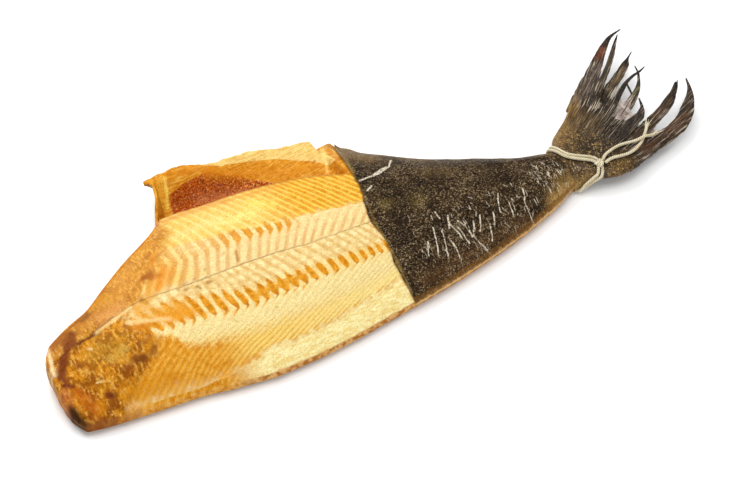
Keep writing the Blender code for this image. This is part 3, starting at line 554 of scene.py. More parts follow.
meat = {
    "columns": 161,  # from the back to the lip
    "step": 0.0008,  # between the lines across it, as far as it is bare
    "bareTo": 0.0140,
    "ridge": 0.00042,
    "fineRidge": 0.00012,
    "midline": 0.00028,
    "edgeBand": 0.0012,  # width of the outermost band at the back
    "headLumps": 0.0010,
    "fray": 0.0005,  # of the dried shreds on the head end
    "grain": 0.00012,
    "torn": (0.0004, 0.0007),  # fine and coarse, inside the cavity
    "ragged": (0.0009, 0.0010),  # sideways and up, at the rim of the belly wall
    "corner": 0.0075,  # how far the corner of that wall reaches towards the head
    # Borders of the bands of muscle past the trimmed edge, x and y in millimetres
    "bands": (
        ((-244, -45), (-220, -51), (-190, -54.8), (-162, -58.4), (-155, -58.0), (-149, -58.6), (-142, -59.2),
         (-130, -59.0), (-122, -58.6), (-112, -56.6), (-95, -57.6), (-83, -58.0), (-66, -56.6), (-50, -54.7),
         (-35, -52.4), (-20, -50.2), (-8, -47.5), (12, -44)),
        ((-244, -26), (-190, -23.8), (-175, -23), (-167, -24.5), (-161, -33.7), (-153, -38.6), (-140, -41.7),
         (-124, -45.8), (-105, -48.1), (-78, -48.2), (-49, -47.2), (-19, -45.5), (-8, -44), (12, -41)),
        ((-244, -22), (-190, -18.5), (-167, -20), (-152, -22), (-138, -24.7), (-122, -27.3), (-105, -29.9),
         (-87, -30.4), (-68, -30.7), (12, -30.5)),
        ((-244, -14), (-180, -2), (-160, -1.5), (-147, -4.7), (-131, -10.2), (-115, -15.2), (-99, -18.3),
         (-62, -19.8), (-26, -22.9), (12, -25)),
        ((-244, -6), (-213, 2), (-198, 4.5), (-177, 8), (-156, 5.5), (-142, 3.7), (-107, 1.8), (-80, -0.4),
         (-53, -4), (-16, -6), (12, -7.5)),
        ((-244, -1), (-213, 13), (-180, 24), (-156, 26), (-126, 23.4), (-96, 22.5), (-79, 20.1), (-61, 16.8),
         (-34, 14.6), (-8, 10.8), (12, 8.5)),
        ((-244, 0.5), (-213, 16), (-180, 36), (-154, 44.6), (-126, 39.1), (-106, 33), (-92, 31.1),
         (-79, 26.5), (-67, 23.7), (-50, 19.8), (-32, 16.6), (-8, 11.9), (12, 9.2)),
    ),
    # Segments counted along the body, on three lines of it: x in millimetres and the count
    "counts": {
        "low": ((-260, -14.7), (-151, 0), (-121, 4), (-63.5, 12), (-25, 17), (-7, 20), (40, 27.5)),
        "over": ((-260, -18.4), (-117, 0), (-102, 2), (-78, 5), (-57.5, 8), (40, 20.8)),
        "golden": ((-260, -18.4), (-117, 0), (-102, 2), (-78, 5), (-57.5, 8), (-35, 11.5),
                   (-16.5, 15), (40, 25.5)),
    },
    # How far a segment runs towards the tail as y grows, stretch by stretch and by x
    "leans": {
        "edge": ((-240, 1.4), (-170, 1.9), (-150, 2.4), (-110, 2.9), (40, 2.9)),
        "low": ((-240, 0.8), (-140, 0.9), (-100, 1.6), (-50, 2.0), (40, 2.2)),
        "fingers": ((-240, -0.6), (-150, -0.3), (-130, -0.15), (40, -0.15)),
        "under": ((-240, -0.2), (-125, -0.2), (-105, -0.5), (40, -0.6)),
        "over": ((-240, 0.9), (-140, 0.6), (-125, 0.4), (-100, 0.5), (-65, 0.7), (-25, 1.0), (40, 1.1)),
        "golden": ((-240, -0.1), (-120, -0.25), (-100, -0.35), (-60, -0.45), (-20, -0.6), (40, -0.7)),
    },
    # Shares by x: how far orange runs on between the fingers, how full the teeth above them are, how
    # pale the golden side is and how strong the stripes by the back are
    "shares": {
        "fused": ((-175, 1.0), (-156, 0.8), (-144, 0.0), (-108, 0.05), (-98, 0.75), (-72, 0.6),
                  (-62, 0.0), (12, 0.0)),
        "toothed": ((-150, 0.0), (-135, 0.25), (-112, 0.55), (-100, 0.9), (-66, 1.0), (-54, 0.8),
                    (-50, 0.0), (12, 0.0)),
        "pale": ((-160, 0.4), (-128, 0.9), (-80, 0.8), (-58, 0.35), (-38, 0.0), (12, 0.0)),
        "striped": ((-160, 1.0), (-110, 0.85), (-80, 0.6), (-55, 0.4), (-30, 0.2), (12, 0.12)),
    },
    # Where the bare head end begins: y, x
    "headFrom": ((-60, -214), (-50, -206), (-40, -196), (-31, -178), (-22, -175), (-12, -183), (0, -186),
                 (8, -178), (20, -161), (35, -146), (50, -135), (60, -128)),
    # How far across the cavity the raw lining reaches, and from where the pale sheet begins, by x
    "liningTo": ((-124, 0.10), (-113, 0.30), (-108, 0.68), (-96, 0.74), (-84, 0.81), (-77, 0.86),
                 (-68, 0.77), (-58, 0.68), (-47, 0.50), (-39, 0.38), (-28, 0.20), (-16, 0.0)),
    "sheetFrom": ((-86, 1.02), (-74, 0.95), (-60, 0.88), (-44, 0.82), (-33, 0.80), (-23, 0.73),
                  (-14, 0.65), (-7, 0.57), (3, 0.40)),
    # Strokes of colour: from x, y to x, y and how far they reach, in millimetres, colour, share
    "sprays": (
        (-236, -30, -230, -42, 6, (192, 100, 14), 0.6), (-215, -12, -200, -14, 10, (186, 138, 34), 0.5),
        # The first spray below is a painted highlight on the head end.
        (-208, -21, -198, -19, 3, (206, 168, 78), 0.45), (-208, -44, -178, -46, 7, (206, 134, 12), 0.5),
        (-197, 24, -190, 22, 5, (200, 140, 22), 0.5), (-222, 9, -226, 3, 3.4, (108, 44, 16), 0.95),
        (-226, 3, -233, -5, 3.1, (112, 46, 14), 0.95), (-233, -5, -240, -16, 2.9, (112, 48, 18), 0.95),
        (-240, -16, -239, -20, 2.6, (120, 54, 22), 0.75),
        (-239.5, 6, -243.6, -13, 1.5, (250, 220, 170), 0.85),
        (-241, -22, -236, -25.5, 1.3, (104, 42, 14), 0.9), (-243, -26, -242, -34, 2.6, (190, 110, 56), 0.65),
        (-243, -38, -239.5, -47, 3.4, (38, 14, 10), 0.95),
        (-239, -49, -222, -52.5, 2.3, (122, 60, 24), 0.95),
        (-222, -52.5, -205, -54, 1.6, (150, 92, 44), 0.65), (-211, 15.5, -207, 17, 2.6, (66, 28, 18), 0.95),
        (-236, 6, -226, 9, 4, (150, 84, 30), 0.6), (-214, 12, -200, 16, 5, (192, 124, 46), 0.5),
        (-236, 9, -212, 17, 1.6, (150, 88, 34), 0.75), (-212, 18, -190, 30.5, 1.6, (172, 104, 36), 0.7),
        (-190, 30.5, -150, 57, 1.4, (176, 110, 40), 0.65), (-150, 57, -130, 77, 1.3, (170, 100, 34), 0.65),
        (-190, 18, -176, 24, 6, (214, 152, 66), 0.4), (-178, 32, -160, 42, 5, (222, 160, 74), 0.5),
        (-220.5, -0.5, -208.6, 0.8, 1.3, (96, 44, 12), 0.95),
        (-208.6, 1.4, -194, 5.6, 1.2, (120, 62, 20), 0.9),
        (-207, 1.2, -194, 3.4, 1.5, (244, 214, 146), 0.75),
        (-194, 3.4, -182, 6.6, 1.7, (248, 222, 156), 0.85), (-200, 9, -186, 10, 5.2, (218, 156, 88), 0.7),
        (-178, -2, -150, -9, 7, (226, 164, 64), 0.6), (-166, -12, -150, -17, 5, (228, 152, 34), 0.8),
        (-185, -9, -176, -12, 3.1, (200, 118, 22), 0.6), (-187, -3, -163, -14, 1.7, (244, 204, 138), 0.95),
        (-172, 8, -170, 5, 1.7, (110, 62, 14), 0.9), (-163, 24, -153, 20, 2.3, (138, 62, 18), 0.95),
        (-159, 21, -157, 26, 2.6, (130, 58, 16), 0.75), (-158, 14, -149, 22, 7.8, (226, 146, 40), 0.7),
        (-152, 34, -149, 40, 2.3, (208, 128, 34), 0.9), (-149, 40, -144, 43, 2.1, (222, 154, 60), 0.75),
        (-176, 3, -164, 8, 3.9, (226, 160, 52), 0.65), (-193, -28.5, -189, -29.5, 3.4, (118, 60, 8), 0.95),
        (-182, -28, -180, -27, 2.6, (138, 76, 14), 0.85), (-186, -21, -180, -20, 2.6, (160, 100, 26), 0.65),
        (-202, -30, -199, -32, 2.6, (140, 74, 16), 0.75),
        (-219, -39, -216.5, -40.5, 2.3, (108, 44, 14), 0.95),
        # The next two pale sprays are painted highlights: glints on the head end.
        (-222, -30, -218, -31, 0.9, (240, 208, 140), 0.55),
        (-217, -7, -215.5, -9, 0.8, (252, 232, 190), 0.6),
        (-210, -51, -203, -51.5, 2.9, (240, 182, 104), 0.4), (-103, 5, -100, 14, 1.1, (176, 128, 62), 0.75),
        (-109, 15, -108, 16, 1.1, (190, 160, 104), 0.6), (-144, 0.5, -141, 0.8, 1.1, (160, 106, 44), 0.75),
        (-136, -1, -134.5, -3.6, 1.2, (168, 120, 50), 0.8),
        (-128.5, -1.2, -126.5, -1.6, 1.5, (170, 112, 48), 0.85),
        (-143, 5, -140, 6, 1.0, (176, 118, 54), 0.6), (-135.5, 6, -134, 6.4, 0.9, (150, 112, 62), 0.6),
        (-126, 9, -125, 10, 1.0, (168, 126, 70), 0.6),
        (-125.5, -33.5, -124.5, -35, 0.9, (206, 176, 96), 0.7),
        (-97, -36.5, -96, -37.5, 0.9, (200, 170, 92), 0.7), (-150, -58, -142, -59, 1.4, (236, 168, 58), 0.7),
        (-132, -57.6, -122, -57.2, 1.6, (224, 150, 44), 0.7), (-98, 43, -72, 40, 7, (252, 234, 142), 0.45),
        (-126, 48, -100, 50, 8, (250, 228, 156), 0.4), (-70, 52, -58, 40, 6, (255, 228, 110), 0.45),
        (-126, 76, -84, 66, 4.5, (222, 150, 78), 0.6), (-84, 66, -40, 56, 2.4, (224, 156, 60), 0.6),
        (-90, 95, -62, 86, 5, (206, 132, 84), 0.45), (-118, 100, -112, 112, 4, (240, 184, 60), 0.55),
        (-107, 114, -109, 108, 1.2, (252, 222, 110), 0.7), (-109, 108, -113, 99, 1.3, (250, 216, 96), 0.7),
        (-100, 116, -74, 110, 3.4, (214, 134, 36), 0.5), (-76, 106, -46, 92, 4, (216, 134, 20), 0.65),
        (-46, 92, -16, 76, 4, (220, 144, 34), 0.55), (-8, 76, -6, 77, 1.5, (178, 98, 26), 0.75),
        (7, 91, 1, 74, 2.4, (248, 222, 132), 0.7), (13, 88, 9, 70, 1.2, (250, 226, 150), 0.6),
        (9, 93, 16, 91, 2.2, (232, 190, 116), 0.6), (0, 73, -4, 62, 1.2, (252, 228, 140), 0.5),
        (9, 80, 12, 62, 3, (226, 150, 36), 0.6), (12, 92, 15, 84, 2.4, (168, 116, 52), 0.7),
        (-3, -62, 150, -27, 3.4, (176, 126, 68), 0.8), (26, 79, 60, 52, 3, (128, 98, 48), 0.85),
        (60, 52, 150, 6, 3, (140, 108, 52), 0.85),
    ),
}


def edgeSwell(share, x):
    # The rounding of a trimmed edge: none at its foot and its top, edgeBulge between them.
    swell = np.minimum(1.0, 1.3 * np.abs(np.sin(math.pi * share)) ** 0.8)
    return body["edgeBulge"] * swell * ease((body["seamX"] - x) / 0.02)


def meatRelief(x, u, phase, head, band):
    # How far the top lies below the smooth dome: a groove between segments and a fine one halfway,
    # the line along the middle, and lumps towards the head.
    fade = ease(u / 0.06) * ease((1.0 - u) / 0.06) * (1 - 0.8 * head)
    strength = 0.25 + 0.45 * ease((band - 4) / 0.3) + 0.3 * ease((band - 7) / 0.6)
    fade = fade * (strength + 0.5 * ease((3.2 - band) / 0.5))
    turn = 2 * math.pi * phase
    groove = (0.5 + 0.5 * np.cos(turn)) * meat["ridge"]
    fine = (0.5 + 0.5 * np.cos(3 * turn)) ** 2 * meat["fineRidge"]
    line = np.exp(-(((band - 6) / 0.07) ** 2)) * meat["midline"] * ease((x - body["headX"]) / 0.05)
    lumps = meat["headLumps"] * rough(x, u * 0.12, 0.015, 31, 3) * head * ease(u / 0.08)
    fray = meat["fray"] * rough(x, u * 0.12, 0.0035, 34, 2) * head * ease(u / 0.05)
    return (groove + fine) * fade + line + lumps + fray


def phaseOf(x, y):
    # Place along the body counted in segments. Each segment is bent like a W: from the line where it
    # is counted it leans by its own share in every stretch outwards.
    xMm, yMm = x * 1000, y * 1000
    fourth, fifth, middleLine, seventh, eighth = (through(meat["bands"][k], xMm) for k in (2, 3, 4, 5, 6))
    lean = {name: through(stations, xMm) for name, stations in meat["leans"].items()}
    anchor = (fourth + fifth) / 2
    below = np.clip(fourth - yMm, 0, 9) * lean["low"] + np.maximum(fourth - 9 - yMm, 0) * lean["edge"]
    near = (anchor - np.clip(yMm, fourth, fifth)) * lean["fingers"] + below
    near = near - np.clip(yMm - fifth, 0, None) * lean["under"]
    far = (seventh - np.minimum(yMm, seventh)) * lean["over"] - np.maximum(yMm - eighth, 0) * lean["golden"]
    counted = {name: through(stations, xMm + far) for name, stations in meat["counts"].items()}
    share = ease((yMm - seventh) / np.maximum(eighth - seventh, 2.5))
    above = counted["over"] * (1 - share) + counted["golden"] * share
    return np.where(yMm < middleLine, through(meat["counts"]["low"], xMm + near), above)


def bandOf(x, y):
    # Which band a place is in: 0 at the back edge and one more past each border, straight between.
    back, lip, _ = edges(x)
    inner = [through(stations, x * 1000) / 1000 for stations in meat["bands"]]
    borders = np.maximum.accumulate([back, back + meat["edgeBand"], *inner, lip])
    borders = borders + np.arange(len(borders))[:, None, None] * 1e-6
    return sum(np.clip((y - low) / (high - low), 0, 1) for low, high in zip(borders, borders[1:]))


def meatFinish():
    # Layers of colour by band and segment, then the head end, the cavity, the trimmed edge and the
    # sprays. edge is the band and beat the count of segments, both blurred by noise.
    look = Finish("smokedMeat", {"Subsurface Weight": 0.10, "Subsurface Scale": 0.0012,
                                 "Subsurface Radius": (1.0, 0.5, 0.2), "Coat Roughness": 0.16,
                                 "Specular IOR Level": 0.10, "IOR": 1.35})
    place = look.place()
    band, phase, w, brink, side = map(look.value, ("band", "phase", "w", "brink", "side"))
    head, front, lining, sheet = map(look.value, ("head", "front", "lining", "sheet"))
    fused, toothed, pale, striped = map(look.value, meat["shares"])
    tint, tinted = look.sprayed()
    wander = look.noise(place, 60, 2)
    patchy = look.noise(place, 260, 3)
    grain = look.noise(place, 1000, 3, 0.6)
    crumb = look.cells(place, 900, out="Color")
    edge = band + (patchy - 0.5) * 0.5 + (grain - 0.5) * 0.35
    beat = phase + (wander - 0.5) * 0.45 + (patchy - 0.5) * 0.20
    one, three = beat.wave(1), beat.wave(3)

    def blotched(one, other, soft=0.2):
        # Two colours in patches, with edges as soft as given.
        return look.mix(patchy.smooth(0.5 - soft, 0.5 + soft), one, other)

    # cream either side of the middle, with a tan gap in each segment
    look.colour = blotched((246, 226, 168), (228, 196, 130), 0.15)
    gaps = (one + (grain - 0.5) * 0.8).smooth(0.35, 0.95) * (0.35 + patchy * 0.6)
    look.paint(gaps * edge.within(4.9, 6.0), (214, 172, 98))
    blush = blotched((240, 207, 148), (240, 219, 156), 0.1)
    look.paint(edge.within(6.0, 7.1), blush)
    gaps = gaps * (1 - (1 - striped) * edge.smooth(6.35, 6.8) * 0.85)
    look.paint(gaps * edge.within(6.0, 7.1), (208, 158, 92))
    # pale field with faint lines, then golden stripes that get stronger towards the back
    outer = edge.within(3.0, 4.0)
    look.paint(outer * 0.8, look.mix(patchy, (244, 228, 168), (236, 215, 148)))
    rising = (4.0 - edge).smooth(0.5, 1.05) * striped
    look.paint(outer * rising * 0.7, (240, 204, 108))
    thin = (one + (grain - 0.5) * 0.5).smooth(0.45, 0.95)
    look.paint(outer * thin * (0.16 + rising * 0.45), (214, 162, 76))
    # orange between pale fingers, with a brown point at the foot of each
    reach = (one - 0.5) * (0.30 + striped * 0.14)
    wash = edge.within(3.95, 5.0, 0.25) * (1.05 - striped)
    look.paint(wash * 0.6, (240, 204, 112))
    fingers = (edge + reach).smooth(4.02, 4.2) * (1 - (edge - reach).smooth(4.76, 5.0))
    bulk = one + fused * 1.1 + striped * 0.22 + (wander - 0.5) * 0.7 + (grain - 0.5) * 0.4
    bulk = bulk.smooth(0.36, 0.58)
    orange = blotched((196, 122, 8), (228, 158, 36))
    orange = look.mix((1 - one).smooth(0.1, 0.7) * 0.5, orange, (234, 176, 66))
    look.paint(bulk * fingers, orange)
    foot = band.within(3.98, 4.10, 0.05) * one.smooth(0.88, 0.98) * (1 - front)
    look.paint(foot * 0.7, (168, 112, 40))
    teeth = (edge + reach).smooth(6.9, 7.1) * (1 - (edge - reach).smooth(7.95, 8.1))
    teeth = teeth * (one + (grain - 0.5) * 0.3).smooth(0.26, 0.42)
    look.paint(teeth * toothed, look.mix(patchy, (208, 136, 30), (226, 160, 50)))
    # golden belly side: a deep stretch and a bright ridge in each segment
    golden = blotched((214, 148, 32), (230, 172, 56))
    golden = look.mix(pale * (0.3 + patchy * 0.8), golden, (248, 220, 126))
    ridge = (1 - one + (grain - 0.5) * 0.7).smooth(0.40, 0.95)
    ridged = look.mix(pale, (246, 210, 92), (252, 234, 158))
    golden = look.mix(ridge * (0.8 - pale * 0.3), golden, ridged)
    golden = look.mix(three.smooth(0.6, 1.0) * 0.18, golden, (196, 120, 14))
    look.paint(edge.smooth(7.85, 8.10), golden)
    # a painted shadow: a brown line along the lip, where the top drops into the cavity
    lipShadow = (band + (patchy - 0.5) * 0.1).smooth(8.93, 8.99) * (1 - w.smooth(0.0, 0.02))
    look.paint(lipShadow * 0.7, (178, 104, 34))
    amber = look.mix(ridge * 0.8, (216, 154, 50), (246, 214, 120))
    look.paint(front * edge.smooth(6.0, 6.3) * 0.75, amber)
    # golden stripes by the back, and the cream strip outside them
    deep = blotched((208, 132, 8), (222, 150, 20))
    lines = (1 - one) * 0.45 + three.smooth(0.5, 1.0) * 0.25
    deep = look.mix(lines * patchy.smooth(0.25, 0.6), deep, (244, 196, 96))
    fine = look.mix(striped, (248, 228, 154), (244, 206, 108))
    fine = look.mix(thin * striped * 0.7, fine, (216, 154, 48))
    verge = (2.3 + (one - 0.5) * 0.3 - edge).smooth(0.0, 0.3) * patchy.smooth(0.35, 0.6)
    fine = look.mix(verge * 0.8, fine, (224, 162, 46))
    fine = look.mix(front, fine, deep)
    look.paint(edge.within(2.0, 3.05, 0.2), fine)
    streak = look.noise(look.place((150, 700, 300)), 1.0, 3)
    strip = look.mix(streak.smooth(0.38, 0.62), (244, 218, 142), (255, 242, 182))
    look.paint((2.0 - edge).smooth(0.0, 0.25) * (1 - front), strip)
    look.paint((2.0 - edge).smooth(0.0, 0.25) * front, deep)
    # the line along the middle
    line = (band + (patchy - 0.5) * 0.12).within(5.98, 6.02, 0.03)
    look.paint(line * grain.smooth(0.35, 0.6) * (0.3 + striped * 0.45), (156, 92, 40))
    # head end
    swirl = look.noise(place, 110, 4, 0.6)
    raw = look.mix(swirl.smooth(0.36, 0.62), (144, 80, 4), (208, 136, 18))
    raw = look.mix(edge.smooth(5.9, 6.5) * 0.7, raw, look.mix(swirl, (188, 120, 38), (218, 158, 72)))
    lower = 1 - edge.smooth(5.9, 6.5) * 0.65
    scrape = look.noise(look.place((560, 200, 200)), 1.0, 3)
    raw = look.mix(scrape.smooth(0.50, 0.64) * 0.55, raw, (238, 188, 90))
    raw = look.mix((1 - scrape.smooth(0.34, 0.46)) * lower * 0.5, raw, (128, 66, 2))
    raw = look.mix(crumb.smooth(0.66, 0.78) * grain.smooth(0.4, 0.6) * lower * 0.7, raw, (112, 54, 2))
    # pale specks painted as glints: painted highlights on the head end
    raw = look.mix((1 - crumb.smooth(0.10, 0.2)) * patchy.smooth(0.48, 0.6) * 0.7, raw, (246, 204, 120))
    look.paint((head + (patchy - 0.5) * 0.7 + (swirl - 0.5) * 0.9).smooth(0.25, 0.75), raw)
    # belly cavity: the raw lining, the orange wall, and the pale sheet towards its rim
    inside = w.smooth(0.0, 0.04)
    wall = blotched((200, 122, 12), (222, 152, 34))
    across = look.noise(look.place((900, 80, 80)), 1.0, 3)
    along = look.noise(look.place((90, 900, 500)), 1.0, 3)
    fibres = look.mix(front, along, across)
    wall = look.mix(fibres.smooth(0.50, 0.68) * 0.5, wall, (244, 198, 96))
    wall = look.mix((1 - fibres.smooth(0.34, 0.46)) * 0.45, wall, (178, 100, 12))
    veil = look.mix(along.smooth(0.4, 0.6), (222, 180, 94), (241, 208, 130))
    wall = look.mix((sheet + (patchy - 0.5) * 0.3).smooth(0.35, 0.65), wall, veil)
    gut = look.mix(grain.smooth(0.38, 0.60), (124, 44, 2), (186, 88, 14))
    # light granules in the lining, partly its own colour and partly painted glints
    gut = look.mix(crumb.smooth(0.70, 0.85) * (0.35 + (1 - pale) * 1.5), gut, (222, 150, 76))
    wall = look.mix((lining + (patchy - 0.5) * 0.5 + (grain - 0.5) * 0.5).smooth(0.42, 0.58), wall, gut)
    look.paint(inside, wall)
    # trimmed edge all round
    rim = blotched((176, 110, 40), (222, 170, 92), 0.15)
    farEdge = (1 - brink.smooth(0.0002, 0.0016)) * (1 - inside) * edge.smooth(5, 6)
    look.paint(farEdge * 0.75, rim)
    cover = (tinted + (grain - 0.5) * 0.5 + (patchy - 0.5) * 0.4).smooth(0.04, 0.95)
    look.paint(cover * 0.92, tint)
    rim = look.mix(patchy.smooth(0.42, 0.6), (170, 108, 42), (220, 170, 104))
    nearEdge = (1 - brink.smooth(0.0001, 0.0009)) * (1 - inside) * (1 - edge.smooth(2, 3))
    trim = (side * 1.6 + nearEdge * 0.25 + (patchy - 0.5) * 0.5).smooth(0.20, 0.40)
    look.paint(trim * (1 - head * 0.8) * (1 - front * 0.6), rim)
    shade = look.mix(grain.smooth(0.30, 0.62), (0.66, 0.58, 0.44, 1), (0.96, 0.96, 0.95, 1))
    look.paint(0.75, shade, "MULTIPLY")
    oily = patchy.smooth(0.5, 0.7) * (1 - head * 0.9) * 0.15
    look.feed(Base_Color=look.colour, Roughness=0.32 + grain * 0.25, Coat_Weight=oily)
    look.bump(one * -0.3 + grain * (1.3 - head * 0.8) + patchy * 0.9 + crumb * 0.15, 0.0005)
    return look.material


def makeMeat():
    # The bare meat and what the dark skin covers: the top less its relief, and the underside.
    inner = meat["columns"]
    w = np.concatenate([np.zeros(inner), np.linspace(0, 0.2, 15)[1:], np.linspace(0.2, 1, 27)[1:]])
    u = np.concatenate([np.linspace(0, 1, inner), np.ones(len(w) - inner)])
    bare = np.arange(body["headX"], meat["bareTo"], meat["step"])
    places = np.concatenate([bare, np.linspace(meat["bareTo"], body["seamX"], 26)])
    x, y = bodyNet(places, u, w)
    u, w = np.broadcast_to(u, x.shape), np.broadcast_to(w, x.shape)
    head = ease((through(meat["headFrom"], y * 1000) / 1000 - x) / 0.036 + 0.5)
    front = ease((-0.118 - x) / 0.030)
    band, phase = bandOf(x, y), phaseOf(x, y)
    back, _, belly = edges(x)
    brink = np.minimum(y - back, belly - y)
    share, across = cavityAt(x, y)
    low = meatBottom(x, y)
    bare = ease((0.016 - x) / 0.008)
    relief = meatRelief(x, u, phase, head, band) + meat["grain"] * rough(x, y, 0.0022, 11, 2)
    fine, coarse = meat["torn"]
    torn = fine * rough(x, y, 0.0016, 12, 2) + coarse * rough(x, y, 0.009, 13)
    torn = share * ease(across * 4) * torn
    high = meatTop(x, y) - (relief * (w == 0) + torn) * bare
    ragged = share * ease((w - 0.72) / 0.28) * bare
    aside, upwards = meat["ragged"]
    y = y + ragged * (aside * rough(x, y * 0, 0.0035, 14, 3) - 0.0002)
    high = high + ragged * upwards * rough(x, y * 0, 0.006, 15, 2)
    x = x - meat["corner"] * np.exp(-(((y - 0.1172) / 0.0022) ** 2)) * ease((-0.106 - x) / 0.010)
    top, bottom = np.stack([x, y, high], -1), np.stack([x, y, low], -1)

    def push(share, ring):
        # Round, by the cut of the knife, and rougher over the head cut.
        swell = edgeSwell(share, ring[:, 0])
        raw = 0.0005 + 0.0007 * ease((-0.222 - ring[:, 0]) / 0.01)
        bumps = rough(ring[:, 0] + ring[:, 1], ring[:, 2] * 1.6, 0.004, 17, 3) * raw
        return swell + bumps * math.sin(math.pi * share)

    keep = np.unique([*range(0, inner, 8), *range(inner - 1, x.shape[1], 4)])
    xMm = x * 1000
    lining = ease((through(meat["liningTo"], xMm) - w) / 0.08 + 0.5) * (share > 0.3) * (w > 0)
    sheet = ease((w - through(meat["sheetFrom"], xMm)) / 0.06 + 0.5) * ease((xMm + 88) / 20) * (xMm < 4)
    values = {"band": band, "phase": phase, "w": w, "head": head, "front": front, "brink": brink,
              "lining": lining, "sheet": sheet, "tint": airbrush(x, y, meat["sprays"], 21)}
    values.update({name: through(stations, xMm) for name, stations in meat["shares"].items()})
    mesh = closedSheet(top, bottom, keep, values, 9, push)
    return makePiece("smokedFillet", "flesh", "smoked_meat", meatFinish(), *mesh)


# The dark skin over the rear half
darkSkin = {
    "rows": 260,
    "columns": (186, 34),  # from the back to the lip, and on to the belly edge
    "fold": 0.00035,
    "tear": 0.0003,
    "swells": (0.00035, 0.00016),  # wide and narrow
    "curl": 0.0004,  # along the cut
    "knob": 0.0050,  # of skin over the bulge behind the cavity
    "knobAt": (0.0225, 0.0820),
    "wrap": 0.05,  # share of the columns that hang down
    "hang": 0.24,  # how far down the edge they reach
    "wornTo": 0.0024,
    "past": 0.0004,  # beyond the seam
    # Pale folds and scratches: from x, y to x, y in millimetres
    "folds": (
        (28, -29, 23, -46), (33, -33, 29, -48), (42, -25, 39, -33), (36, -37, 37, -51), (51, -39, 59, -51),
        (64, -32, 59, -41), (68, -39, 66, -47), (85, -22, 80, -34), (101, -31, 102, -42),
        (105, -23, 102, -31), (44, -35, 48, -45), (40, -31, 44, -41), (20, -36, 17, -44), (57, -34, 54, -42),
        (74, -33, 71, -41), (90, -30, 89, -38), (46, -31, 49, -35),
    ),
    "tears": ((4, 28.5, 19, 29), (19, 29, 30, 33.5), (30, 33.5, 36, 41), (2, 17, 8, 20), (16, 30, 28, 34)),
    "sprays": (
        (20, 78, 60, 50, 8, (150, 118, 66), 0.85), (60, 48, 146, 6, 8, (150, 120, 76), 0.85),
        (24, 66, 60, 38, 9, (128, 102, 60), 0.6), (50, 18, 66, 12, 6, (120, 96, 60), 0.5),
        (122, -37, 134, -33, 4, (150, 114, 62), 0.75), (128, -35, 147, -27, 6.5, (196, 154, 88), 0.95),
        (138, -24, 147, -22, 5, (120, 92, 48), 0.6), (5, -56, 100, -42, 4, (98, 66, 36), 0.6),
        (7, 1, 9, 1, 5, (112, 94, 44), 0.6), (28, -6, 31, -6, 6, (104, 88, 46), 0.6),
        (-7, -60, -7, -9, 1.1, (158, 128, 62), 0.65), (-6, -9, 3, 38, 0.9, (150, 118, 58), 0.5),
        (3, 38, 14, 84, 1.3, (176, 140, 66), 0.7), (15, 88, 24, 79, 4, (160, 126, 74), 0.85),
        # The last spray on this line and the two on the next are a painted highlight: sheen along the far
        # shoulder.
        (44, -34, 47, -33, 3, (126, 114, 88), 0.6), (30, 64, 37, 59, 4, (190, 166, 124), 0.5),
        (44, 51, 72, 37, 3.5, (170, 146, 106), 0.5), (96, 23, 112, 15, 3.5, (156, 138, 108), 0.45),
        (8, 66, 24, 50, 8, (134, 100, 50), 0.7),
    ),
}


def strokesOver(x, y, strokes, width):
    # The highest exp(-(distance / width) squared) of any stroke, for strokes in millimetres.
    total = np.zeros_like(x)
    bend = 0.0016 * rough(x, y, 0.009, 41, 3)
    width = width * (0.75 + 0.6 * rough(x, y, 0.003, 44, 2))
    for stroke in strokes:
        total = np.maximum(total, np.exp(-((fromStroke(x + bend, y + bend * 0.4, stroke) / width) ** 2)))
    return total


def smallFolds():
    # Short seeded strokes over the near half of the skin and, closer together, before the knot.
    dice = np.random.default_rng(5)
    found = []
    for count, left, right, low, high, length in ((90, 12, 112, -52, -14, 5), (80, 118, 147, -28, -4, 5)):
        x, y = dice.uniform(left, right, count), dice.uniform(low, high, count)
        lean, size = dice.normal(0.15, 0.35, count), dice.uniform(0.4, 1.0, count) * length
        found += list(zip(x, y, x + np.sin(lean) * size, y - np.cos(lean) * size))
    return found


def skinFinish():
    # Near-black with pale specks and dark pits, sprayed tan where it is dry and with a painted highlight
    # along the far shoulder, with pale scratches and a worn edge.
    look = Finish("darkSkin", {"Coat Roughness": 0.14, "Specular IOR Level": 0.12, "IOR": 1.3})
    place = look.place()
    fold, side = look.value("fold"), look.value("side")
    tint, tinted = look.sprayed()
    scales = look.cells(look.place((0.8, 1.15, 1.0)), 1050)
    crumb = look.cells(look.place((0.8, 1.15, 1.0)), 1350, out="Color")
    patchy = look.noise(place, 70, 3)
    grain = look.noise(place, 900, 3, 0.65)
    mottle = look.noise(place, 320, 3, 0.6)
    look.colour = look.mix(patchy.smooth(0.35, 0.65), (40, 27, 15), (64, 46, 26))
    # the sprays: tan where the skin is dry, and a painted highlight along its far shoulder
    look.paint(tinted * (0.4 + mottle * 1.2), tint)
    look.paint(mottle.smooth(0.45, 0.65) * (1 - tinted * 0.7) * 0.75, (20, 12, 6))
    pale = crumb.smooth(0.55, 0.90) * (grain + (patchy - 0.5) * 0.4).smooth(0.34, 0.60)
    look.paint(pale * 0.95, look.mix(patchy, (142, 116, 78), (170, 152, 120)))
    look.paint((1 - crumb.smooth(0.2, 0.4)) * 0.6, (14, 9, 4))
    scratch = fold.smooth(0.25, 0.8) * grain.smooth(0.34, 0.52)
    look.paint(scratch * 0.95, (228, 216, 192))
    worn = look.value("worn") + (grain - 0.5) * 0.5 + (mottle - 0.5) * 0.6
    look.paint(worn.smooth(0.25, 0.65) * 0.7, (116, 78, 32))
    look.paint(worn.smooth(0.62, 1.05), (216, 172, 112))
    look.paint(side.smooth(0.1, 0.6), (176, 130, 70))
    oily = crumb.smooth(0.8, 0.95) * 0.8
    look.feed(Base_Color=look.colour, Roughness=0.34 + grain * 0.3, Coat_Weight=oily)
    look.bump(scales * -0.7 + grain * 1.4 + crumb * 0.5 + patchy * 0.5, 0.0006)
    return look.material


